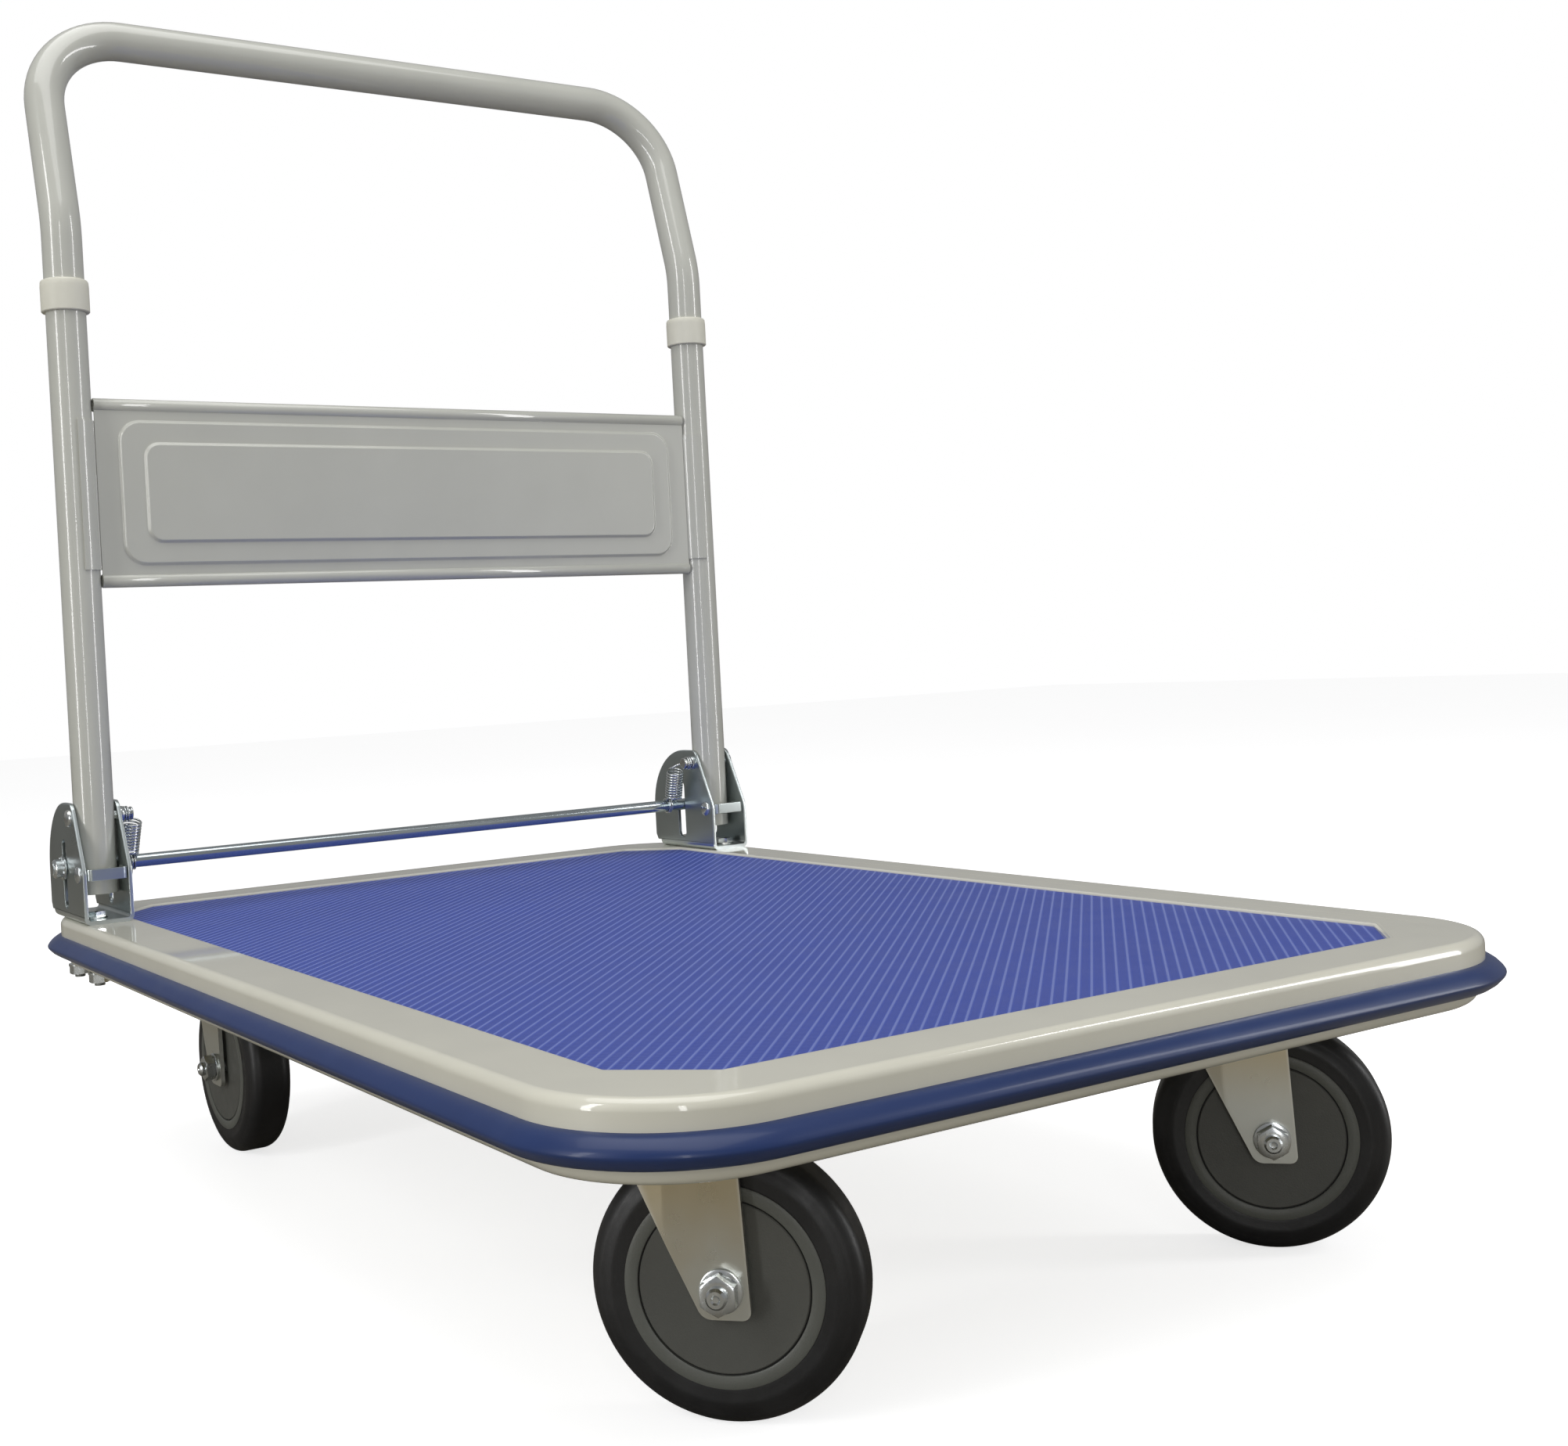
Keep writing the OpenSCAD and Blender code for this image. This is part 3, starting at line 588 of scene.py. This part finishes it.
top = [(-22, 0)] + arc(-5.5, -5.5, 5.5, 90, 0, 10)
lower = [(0, -13), (-1.2, -14.2), (-4, -15)] + [(-4, -28)] + arc(-11, -29, 7, 0, -90, 8) + [(-20, -36)]
back = ([(-20, -34)] + arc(-11, -29, 5, -90, 0, 6) + [(-6, -17), (-2, -12)]
        + arc(-5.5, -5.5, 3.5, 0, 90, 6) + [(-22, -2)])
deck_ring = around(top + lower + back)
ml, mw = 2 * MAT_HI.x + 2, 2 * MAT_HI.y + 2
edge_line = filleted(octagon(ml, mw, MAT_CUT), 2.5, 3)
top_line = round_rect(2 * HL - 36, 2 * HW - 36, CORNER_R - 18, 16)
deck_top = plate([top_line, edge_line], Z0 - 2.02, Z0 - 0.02, 0.0001)


def lip(r=2.0, depth=4.0):
    """The pressed edge that turns down from the rim to the mat's recess."""
    rows = []
    bend = [(r * math.sin(math.radians(a)), r * math.cos(math.radians(a)) - r) for a in (20, 40, 60, 80)]
    for o, u in [(0.0, 0.0)] + bend + [(r, -depth)]:
        wide = 2 * r - 2 - 2 * o
        rows.append([(x, y, Z0 + u) for x, y in octagon(ml + wide, mw + wide, MAT_CUT)])
    return grid(rows, False, True)


well_line = octagon(ml + 4, mw + 4, MAT_CUT + 1)
well = plate([well_line], Z0 - 6, Z0 - 4.02, 0.0001)
well_wall = plate([well_line, octagon(ml - 0.6, mw - 0.6, MAT_CUT)], Z0 - 5, Z0 - 1.9, 0.0001)
piece("deck_shell", [deck_ring, deck_top, lip(), well, well_wall], PAN, "cart", ["deck_pan"],
      sharp=40, even=True)

nose = [(-3.9, -13.2), (0, -13.0), (3.5, -13.9), (6.6, -16.0),
        (8.9, -18.4), (9.8, -19.8), (10, -20.6), (9.8, -21.4),
        (8.9, -22.6), (6.6, -25.0), (3.5, -27.1), (0, -28.0), (-3.9, -27.8)]
piece("bumper", [around(nose)], BUMPER, "cart", ["bumper_strip"], sharp=50)


def mat_ribs():
    """Raised ribs at 45 degrees, clipped to the mat's outline."""
    hx, hy, c, top_z = MAT_HI.x - 1.5, MAT_HI.y - 1.5, MAT_CUT, MAT_HI.z
    parts = []
    pitch = 6.2
    half = hx + hy
    count = int(half / math.sqrt(2) / pitch)
    for k in range(-count, count + 1):
        d = k * pitch * math.sqrt(2)
        lo, hi = max(-hx, d - hy), min(hx, d + hy)
        if d > half - c or d < c - half:
            continue
        lo_t, hi_t = 2 * lo - d, 2 * hi - d
        lim = hx + hy - c
        lo_t, hi_t = max(lo_t, -lim), min(hi_t, lim)
        if hi_t - lo_t < 8:
            continue
        a = Vector(((d + lo_t) / 2, (d - lo_t) / 2, top_z))
        b = Vector(((d + hi_t) / 2, (d - hi_t) / 2, top_z))
        w = Vector((1, 1, 0)).normalized()
        up = Vector((0, 0, 0.32))
        rows = [[p - w * 0.75, p - w * 0.3 + up, p + w * 0.3 + up, p + w * 0.75] for p in (a, b)]
        v, f = grid(rows)
        parts.append((v, f + [[0, 1, 2, 3], [4, 5, 6, 7], [0, 3, 7, 4]]))
    return parts


body = plate([filleted(octagon(2 * MAT_HI.x, 2 * MAT_HI.y, MAT_CUT), 2, 3)], Z0 - 4, MAT_HI.z, 0.3)
piece("mat", [body] + mat_ribs(), MAT, "cart", ["anti_slip_mat"], sharp=25, even=True)

for n in ("channel_front", "channel_rear", "corner_support_left", "corner_support_right"):
    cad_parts[n].data.materials.clear()
    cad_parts[n].data.materials.append(PAN)


# ---- hinge brackets ----

def cheek_line():
    nr, top_z = 9, PIVOT_Z + 11
    nose_c = Vector((-1.5, top_z - nr))
    knee = Vector((28.5, 39))
    d = (knee - nose_c).length
    a = math.degrees(math.atan2(knee.y - nose_c.y, knee.x - nose_c.x) + math.acos(nr / d))
    br = top_z - 35
    return ([(-67, 10), (-64, 5), (28.5, 5), (28.5, 36), (28.0, 40)]
            + arc(nose_c.x, nose_c.y, nr, a, 90, 10)
            + arc(br - 67, 35, br, 90, 180, 24))


def capsule(x, z0, z1, w):
    return arc(x, z1, w / 2, 0, 180, 10) + arc(x, z0, w / 2, 180, 360, 10)


def bracket(side, s):
    slot_x = ROD_X - PX
    cut = [capsule(slot_x, 14.2, 54.2, 11), arc(28.5 - 10.5, 36, 3, 0, 345, 15)]
    parts = []
    for y in (PY - CHEEK_OUT, PY + CHEEK_IN):
        parts.append(upright(plate([cheek_line()] + cut, 0, 3, 0.7), PX, y, Z0))
    r = 5
    w = CHEEK_OUT
    outer = [(-w, 6)] + arc(-w + r, r, r, 180, 270, 8) + arc(w - r, r, r, 270, 360, 8) + [(w, 6)]
    inner = ([(w - 3, 6)] + arc(w - r, r, r - 3, 0, -90, 6)
             + arc(-w + r, r, r - 3, 270, 180, 6) + [(-w + 3, 6)])
    rows = [[(PX + x, PY + y, Z0 + z) for y, z in outer + inner] for x in (-58.5, 28.1)]
    v, f = grid(rows, False, True)
    n = len(outer + inner)
    parts.append((v, f + [list(range(n)), list(range(n, 2 * n))]))
    mirror = Matrix.Scale(s, 4, (0, 1, 0))
    piece("hinge_bracket_" + side, [moved(p, mirror) for p in parts], ZINC, "cart",
          ["bracket_" + side], sharp=28, even=True)

    x1 = PX + 29.5
    wy = CHEEK_IN
    line = ([(x1 - 17, -wy), (x1 - 4, -wy)] + arc(x1 - 4, -wy + 4, 4, -90, 0, 6)[1:]
            + arc(x1 - 4, wy - 4, 4, 0, 90, 6) + [(x1 - 17, wy)])
    back_line = ([(x1 - 17, wy - 2), (x1 - 4.5, wy - 2)] + arc(x1 - 4, wy - 4, 1.6, 90, 0, 4)[1:]
                 + arc(x1 - 4, 4 - wy, 1.6, 0, -90, 4) + [(x1 - 17, 2 - wy)])
    bar = moved(plate([line + back_line], 0, 8.5, 0.5), at(0, s * PY, Z0 + 31.5))
    piece("stop_strap_" + side, [bar], ZINC, "cart", ["strap_" + side], sharp=28, even=True)

    heads = []
    for m in (1, -1):
        flip = m * s < 0
        y = s * PY + s * m * CHEEK_OUT
        heads.append(along_y(button(6.2, 2.6), PX + 18, y, Z0 + 36, flip))
        heads.append(along_y(lathe([(0, -5), (3, -5), (3, 0.2), (0, 0.2)], 24), PX + 18, y, Z0 + 36, flip))
    piece("strap_rivet_heads_" + side, heads, BOLT, "cart", ["strap_rivets_" + side], sharp=35)

    bolts, nuts = [], []
    flange = [(0, 2.4), (8.2, 2.4), (8.4, 3.2), (7.6, 4.2), (0, 4.2)]
    washer = [(3.8, -37.6), (8, -37.6), (8, -36.05), (3.8, -36.05)]
    for x in (PX + 10, PX - 45):
        y = s * (PY + 5)
        bolts.append(moved(hexagon(13, 3, 8.3), at(x, y, Z0, 17)))
        bolts.append(moved(lathe(flange, 40), at(x, y, Z0)))
        bolts.append(moved(thread(4, -46, 3), at(x, y, Z0)))
        nuts.append(moved(hexagon(13, -43.8, -37.4, 3.6), at(x, y, Z0, 40)))
        nuts.append(moved(lathe(washer, 40, True), at(x, y, Z0)))
    piece("bracket_bolt_set_" + side, bolts, BOLT, "cart", ["bracket_bolts_" + side], sharp=30)
    piece("bracket_nut_set_" + side, nuts, BOLT, "cart", ["bracket_nuts_" + side], sharp=30)

    c = CHEEK_OUT
    pin = [(0, -c - 10), (4.4, -c - 10), (5, -c - 9.4), (5, -c - 8.4), (4.2, -c - 8),
           (4.0, -c - 3.2), (5.8, -c - 3), (6, -c - 2.6), (6, -c + 0.1), (4, -c + 0.1),
           (4, c), (6.5, c), (6.5, c + 0.8), (5.8, c + 2.2), (3.6, c + 3), (0, c + 3)]
    piece("pivot_stud_" + side, [along_y(lathe(pin, 48), PX, s * PY, Z0 + PIVOT_Z, s < 0)], BOLT, "cart",
          ["pivot_pin_" + side], sharp=30)


for side, s in SIDES:
    bracket(side, s)


# ---- lock rod and springs ----

end = PY + CHEEK_OUT + 9
rod = [(0, -end), (4, -end), (5, -end + 1), (5, end - 1), (4, end), (0, end)]
piece("lock_bar", [along_y(lathe(rod, 48), ROD_X, 0, ROD_Z)], ROD, "lock_rod", ["lock_rod"], sharp=30)
caps = []
for s in (-1, 1):
    o = PY + CHEEK_OUT
    cap = [(5, o + 1.6), (7, o + 1.6), (7, o + 7), (6, o + 8.2),
           (5, o + 8.6), (5, o + 9.3), (0, o + 9.5), (0, o + 2)]
    washer = [(5, o + 0.4), (8.7, o + 0.4), (9, o + 0.8), (9, o + 1.7), (8.6, o + 2), (5, o + 2)]
    caps.append(along_y(lathe(cap, 40), ROD_X, 0, ROD_Z, s < 0))
    caps.append(along_y(lathe(washer, 48, True), ROD_X, 0, ROD_Z, s < 0))
    star = []
    for k in range(16):
        r = 8.4 if k % 2 else 5.4
        star.append((r * math.cos(math.pi * k / 8), r * math.sin(math.pi * k / 8)))
    caps.append(along_y(moved(plate([star], 0, 0.9, 0.2), at(0, 0, o + 2.1)), ROD_X, 0, ROD_Z, s < 0))
piece("rod_end_caps", caps, BOLT, "lock_rod", ["rod_caps"], sharp=30)


def spring(side, s):
    """A tension coil with double loops round the pivot stud and round the lock rod."""
    face = PY - CHEEK_OUT
    stud = Vector((PX, s * (face - 5.5), Z0 + PIVOT_Z))
    bar_c = Vector((ROD_X, s * (face - 14.5), ROD_Z))
    axis_top = Vector((PX - 9.5, s * (face - 12), Z0 + 69.5))
    axis_low = Vector((ROD_X + 4, s * (face - 10.5), Z0 + 45.5))
    ax = axis_low - axis_top
    length = ax.length
    ax.normalize()
    e1 = ax.cross(Vector((0, 1, 0))).normalized()
    e2 = ax.cross(e1).normalized()
    pts = []
    for k in range(46):
        a = 2 * math.pi * (k / 24 - 0.1)
        pts.append(stud + Vector((5.1 * math.sin(a), s * (1.8 - 0.08 * k), 5.1 * math.cos(a))))
    turns, r = 10.5, 7.1
    n = int(turns * 20)
    for k in range(n + 1):
        a = 2 * math.pi * k / 20 + 2.4
        pts.append(axis_top + ax * (length * k / n) + e1 * r * math.cos(a) + e2 * r * math.sin(a))
    for k in range(50):
        a = 2 * math.pi * (k / 24 + 0.05)
        pts.append(bar_c + Vector((6.0 * math.sin(a), s * 0.08 * (25 - k), 6.0 * math.cos(a))))
    smooth = []
    for i in range(len(pts)):
        lo, hi = max(0, i - 1), min(len(pts) - 1, i + 1)
        smooth.append((pts[lo] + pts[i] * 2 + pts[hi]) / 4)
    wire = piece("coil_spring_" + side, [sweep(smooth, ring(0.8, 8), up=(0.3, 1, 0.2))], BOLT, None,
                 ["spring_" + side], sharp=60)
    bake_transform(wire)


for side, s in SIDES:
    spring(side, s)


# ---- handle ----

def tube(r, wall, z0, z1, x=0.0, y=0.0, n=56):
    ri = r - wall
    prof = [(ri, z0), (r - 0.3, z0), (r, z0 + 0.3), (r, z1), (ri, z1)]
    return moved(lathe(prof, n, True), at(x, y, 0))


COLLAR_Z = mm("collar_left")[0].z
COLLAR_TOP = mm("collar_left")[1].z
for side, s in SIDES:
    piece("lower_post_" + side, [tube(TUBE_R, 1.8, Z0 + 20, COLLAR_Z + 4, PX, s * PY)], PAINT, "handle",
          ["post_" + side], sharp=40)
    h = COLLAR_TOP - COLLAR_Z
    sleeve = [(TUBE_R - 1, 0), (16.6, 0), (17.2, 0.6), (17.25, h - 5),
              (17.0, h - 1.6), (16.3, h - 0.5), (15.2, h), (TUBE_R - 1, h)]
    sleeve = moved(lathe(sleeve, 56, True), at(PX, s * PY, COLLAR_Z))
    piece("joint_sleeve_" + side, [sleeve], COLLAR, "handle",
          ["collar_" + side], sharp=40)


def loop_path():
    """The upper tube's centre line: leg, crank back, corner, crossbar, and the same down again."""
    crank_z, crank_a, crank_r, bend_r = 510.0, math.radians(16), 90.0, 64.0
    half = crank_r * math.tan(crank_a / 2)
    rise = (665.0 - crank_z) / math.cos(crank_a)
    pts = [(PX, -PY, COLLAR_TOP - 3), (PX, -PY, Z0 + crank_z - half)]
    for k in range(1, 9):
        a = crank_a * k / 8
        pts.append((PX - crank_r * (1 - math.cos(a)), -PY, Z0 + crank_z - half + crank_r * math.sin(a)))
    up = Vector((-math.sin(crank_a), 0, math.cos(crank_a)))
    knee = Vector((PX, -PY, Z0 + crank_z))
    c = knee + up * (rise - bend_r) + Vector((0, bend_r, 0))
    for k in range(0, 19):
        a = math.radians(90 * k / 18)
        pts.append(c + up * (bend_r * math.sin(a)) - Vector((0, bend_r * math.cos(a), 0)))
    pts = [Vector(p) for p in pts]
    return pts + [Vector((p.x, -p.y, p.z)) for p in reversed(pts)]


bar = sweep(loop_path(), ring(TUBE_R, 56), up=(1, 0, 0))
piece("push_bar", [bar], PAINT, "handle", ["upper_loop"], sharp=40)


def nested(loops):
    """Joins closed loops of equal counts from the outside in, with a centre face."""
    v, f = grid(loops, False, True)
    n = len(loops[0])
    return v, f + [[len(v) - n + j for j in range(n)]]


def panel():
    z_lo, z_hi = mm("handle_panel")[0].z + 5, mm("handle_panel")[1].z - 5
    w, h, zc = 2 * (PY - TUBE_R), z_hi - z_lo, (z_lo + z_hi) / 2
    x0 = PX + 7.2

    def step(t):
        return t * t * (3 - 2 * t)

    def loops(drop):
        out = [[(x0 - drop, y, zc + z) for y, z in round_rect(w, h, 1.5, 8)]]
        for width, height, r, base in ((w - 32, h - 21, 17, 0.0), (w - 68, h - 54, 12, 2.2)):
            for k in range(-1, 10):
                t = max(0.0, min(1.0, k / 8))
                d = 2.6 * k / 8
                lift = base + 2.2 * step(t)
                line = round_rect(width - 2 * d, height - 2 * d, r - d, 8)
                out.append([(x0 - drop + lift, y, zc + z) for y, z in line])
        return out

    parts = [nested(loops(0)), nested(loops(1.2))]
    rolls = []
    e = w / 2
    for z in (z_lo, z_hi):
        prof = [(3.6, -e), (4.8, -e), (5, -e + 0.2), (5, e - 0.2), (4.8, e), (3.6, e)]
        rolls.append(along_y(lathe(prof, 32, True), x0 - 3, 0, z))
        core = [(0, -w / 2 + 3), (3.6, -w / 2 + 3), (3.6, w / 2 - 3), (0, w / 2 - 3)]
        rolls.append(along_y(lathe(core, 32), x0 - 3, 0, z))
    wings = []
    fr = TUBE_R + 0.15
    for s in (-1, 1):
        rows = []
        for z in (z_lo + 8, z_hi - 12):
            row = []
            for k in range(17):
                a = math.radians(-66 + 66 * k / 16)
                row.append((PX + fr * math.cos(a), s * (PY + fr * math.sin(a)), z))
            row = [(x0 - 1.2, s * (PY - fr * 0.88 - 6), z)] + row
            for k in range(16, -1, -1):
                a = math.radians(-66 + 66 * k / 16)
                row.append((PX + (fr + 1.2) * math.cos(a), s * (PY + (fr + 1.2) * math.sin(a)), z))
            row.append((x0, s * (PY - fr * 0.88 - 6), z))
            rows.append(row)
        v, f = grid(rows, False, True)
        n = len(rows[0])
        for k in range(n // 2 - 1):
            f = f + [[k, k + 1, n - 2 - k, n - 1 - k], [n + k, n + k + 1, 2 * n - 2 - k, 2 * n - 1 - k]]
        wings.append((v, f))
    piece("handle_sheet", parts + rolls + wings, PAINT, "handle", ["handle_panel"], sharp=50)


panel()


# ---- casters ----

def fork_sheet(top_z):
    """The fork's two legs and crown as one bent sheet, in its own frame."""
    inside, t, r = 18.5, 3.0, 6.0
    low = WHEEL_R - 13
    slant = (19 + TRAIL) / (top_z - 3 - WHEEL_R)
    norm = math.hypot(1, slant)
    crease = -7.0

    def slanted(z):
        return -31 + max(0.0, top_z - 10 - z) * slant

    def left_x(z):
        if z > low + 7 - 7 * slant / norm:
            return slanted(z)
        return slanted(low + 7) + 7 * norm - math.sqrt(49 - (low + 7 - z) ** 2)

    def right_x(z):
        if z < low + 4:
            return TRAIL + 9 + math.sqrt(16 - (low + 4 - z) ** 2)
        return TRAIL + 13 - 4 * (z - WHEEL_R + 9) / (top_z - WHEEL_R + 9)

    steps = (0, 0.3, 0.8, 1.5, 2.4, 3.2, 4, 5, 7, 10, 20, 32, 44, 56, 66)
    section = [(inside + t / 2, low + z) for z in steps if low + z < top_z - r - t]
    section += arc(inside + t / 2 - r, top_z - t / 2 - r, r, 0, 90, 6)
    section += [(y, top_z - t / 2) for y in (8, 0)]
    section += [(-y, z) for y, z in reversed(section[:-1])]
    rows_out, rows_in = [], []
    for i, (y, z) in enumerate(section):
        a, b = section[max(0, i - 1)], section[min(len(section) - 1, i + 1)]
        d = Vector((b[0] - a[0], b[1] - a[1])).normalized()
        nx, nz = d.y, -d.x
        xl, xr = left_x(z), right_x(z)
        cr = max(crease, xl + 0.5)
        near = [cr - 2.5 if cr - 2.5 > xl else xl * 0.3 + cr * 0.7,
                cr - 0.8 if cr - 0.8 > xl else xl * 0.15 + cr * 0.85]
        xs = [xl, xl * 0.6 + cr * 0.4] + near + [cr, cr + 1.5, cr + 6, (cr + xr) / 2, xr - 1.5, xr]
        ro, ri = [], []
        for x in xs:
            sink = max(0.0, crease - x) * 0.14 if abs(y) > 10 else 0.0
            yy = y - math.copysign(sink, y)
            ro.append((x, yy + nx * t / 2, z + nz * t / 2))
            ri.append((x, yy - nx * t / 2, z - nz * t / 2))
        rows_out.append(ro)
        rows_in.append(ri)
    vo, fo = grid(rows_out)
    vi, inner = grid(rows_in)
    base, n, m = len(vo), len(rows_out[0]), len(rows_out)
    faces = fo + [[k + base for k in f] for f in inner]
    for i in range(m - 1):
        for j in (0, n - 1):
            faces.append([i * n + j, (i + 1) * n + j, base + (i + 1) * n + j, base + i * n + j])
    for j in range(n - 1):
        for i in (0, m - 1):
            faces.append([i * n + j, i * n + j + 1, base + i * n + j + 1, base + i * n + j])
    return vo + vi, faces


def caster(end, side, sx, s):
    swivel = end == "front"
    tag = "_%s_%s" % (end, side)
    turn = SWIVEL if swivel else 0
    base = at(sx * CASTER[0], s * CASTER[1], 0)
    local = at(sx * CASTER[0], s * CASTER[1], 0, turn)
    plate_hi = mm("caster_plate" + tag)[1].z
    crown = mm("fork" + tag)[1].z
    fork_body = "swivel_fork_" + side if swivel else "cart"
    wheel_body = end + "_wheel_" + side

    parts = [plate([round_rect(96, 80, 8, 6)], plate_hi - 3, plate_hi, 0.6)]
    if swivel:
        cup = [(0, -3.2), (30, -3.2), (30, -4.5), (28.5, -7), (26, -10.4), (25, -11), (6, -11),
               (6, -20), (0, -20)]
        parts.append(lathe([(r, plate_hi + z) for r, z in cup], 64))
        parts.append(hexagon(19, crown - 8, crown - 3.6))
    piece("top_plate" + tag, [moved(p, base) for p in parts], ZINC_GOLD, "cart",
          ["caster_plate" + tag], sharp=32)

    bolts = []
    for x in (-38, 38):
        for y in (-30, 30):
            spot = base @ at(x, y, 0, 11 * x)
            bolts.append(moved(hexagon(13, plate_hi - 9.5, plate_hi - 3, 3.4), spot))
            bolts.append(moved(thread(4, plate_hi - 12, plate_hi + 4), spot))
            bolts.append(moved(hexagon(13, plate_hi + 2, plate_hi + 7), spot))
    piece("plate_bolts" + tag, bolts, BOLT, "cart", ["caster_bolts" + tag], sharp=30)

    parts = [fork_sheet(crown)]
    if swivel:
        race = [(6.2, -3), (27, -3), (27, -1), (25, 0.2), (6.2, 0.2)]
        parts.append(lathe([(r, crown + z) for r, z in race], 64, True))
    piece("fork_legs" + tag, [moved(p, local) for p in parts], ZINC_GOLD, fork_body,
          ["fork" + tag], sharp=26)

    hub = local @ Matrix.Translation((TRAIL, 0, WHEEL_R))
    out = 21.5
    washer = [(5, 0), (9.6, 0), (10, 0.4), (10, 1.3), (9.4, 1.6), (5, 1.6)]
    washer = lathe([(r, out + z) for r, z in washer], 48, True)
    parts = [along_y(hexagon(16, out + 1.6, out + 8.5, 4.6), flip=True),
             along_y(washer, flip=True),
             along_y(bolt_tip(4.9, out - 6, out + 12), flip=True),
             along_y(hexagon(16, out, out + 6)),
             along_y(lathe([(0, -18), (7, -18), (7, 18), (0, 18)], 40)),
             along_y(lathe([(0, 17), (5, 17), (5, out + 0.5), (0, out + 0.5)], 32))]
    piece("axle_bolt" + tag, [moved(p, hub) for p in parts], BOLT, fork_body, ["axle" + tag], sharp=30)

    w = 16.0
    tread = [(46, -w + 0.2), (47.5, -w - 0.1), (51, -w), (52, -w - 0.25), (53, -w), (55.5, -w + 0.4)]
    tread += arc(WHEEL_R - 8.5, -w + 9.4, 8.5, -80, 0, 9)
    tread += [(r, -z) for r, z in reversed(tread)]
    piece("tyre_ring" + tag, [moved(along_y(lathe(tread, 128, True)), hub)], TYRE, wheel_body,
          ["tyre" + tag], sharp=50)

    half = [(46.1, -w + 0.4), (46.1, -w - 0.2), (45.4, -w - 0.6),
            (40.6, -w - 0.5), (40.0, -w - 0.1), (40.0, -w + 1.6)]
    rim = half + [(38.6, -w + 1.6), (38.6, w - 1.6)] + [(r, -z) for r, z in reversed(half)]
    piece("wheel_rim" + tag, [moved(along_y(lathe(rim, 128, True)), hub)], HUB_RING, wheel_body,
          ["rim" + tag], sharp=40)
    disc = [(7.5, w - 2), (39.2, w - 2), (39.2, w - 0.3), (38.7, w + 0.1),
            (34, w - 0.1), (14, w - 0.3), (7.5, w - 0.3)]
    # A thin dark ring between the disc's edge and the rim: painted shade in the groove.
    shade_ring = [(38.9, w - 1.7), (40.1, w - 1.7), (40.1, w - 1.4), (38.9, w - 1.4)]
    discs, shade_rings = [], []
    for flip in (False, True):
        discs.append(moved(along_y(lathe(disc, 96, True), flip=flip), hub))
        shade_rings.append(moved(along_y(lathe(shade_ring, 96, True), flip=flip), hub))
    piece("wheel_disc" + tag, discs, HUB, wheel_body, ["hub_covers" + tag], sharp=40)
    piece("wheel_groove_shade" + tag, shade_rings, GROOVE_SHADE, wheel_body)


for end_name, sx in (("front", 1), ("rear", -1)):
    for side, s in SIDES:
        caster(end_name, side, sx, s)
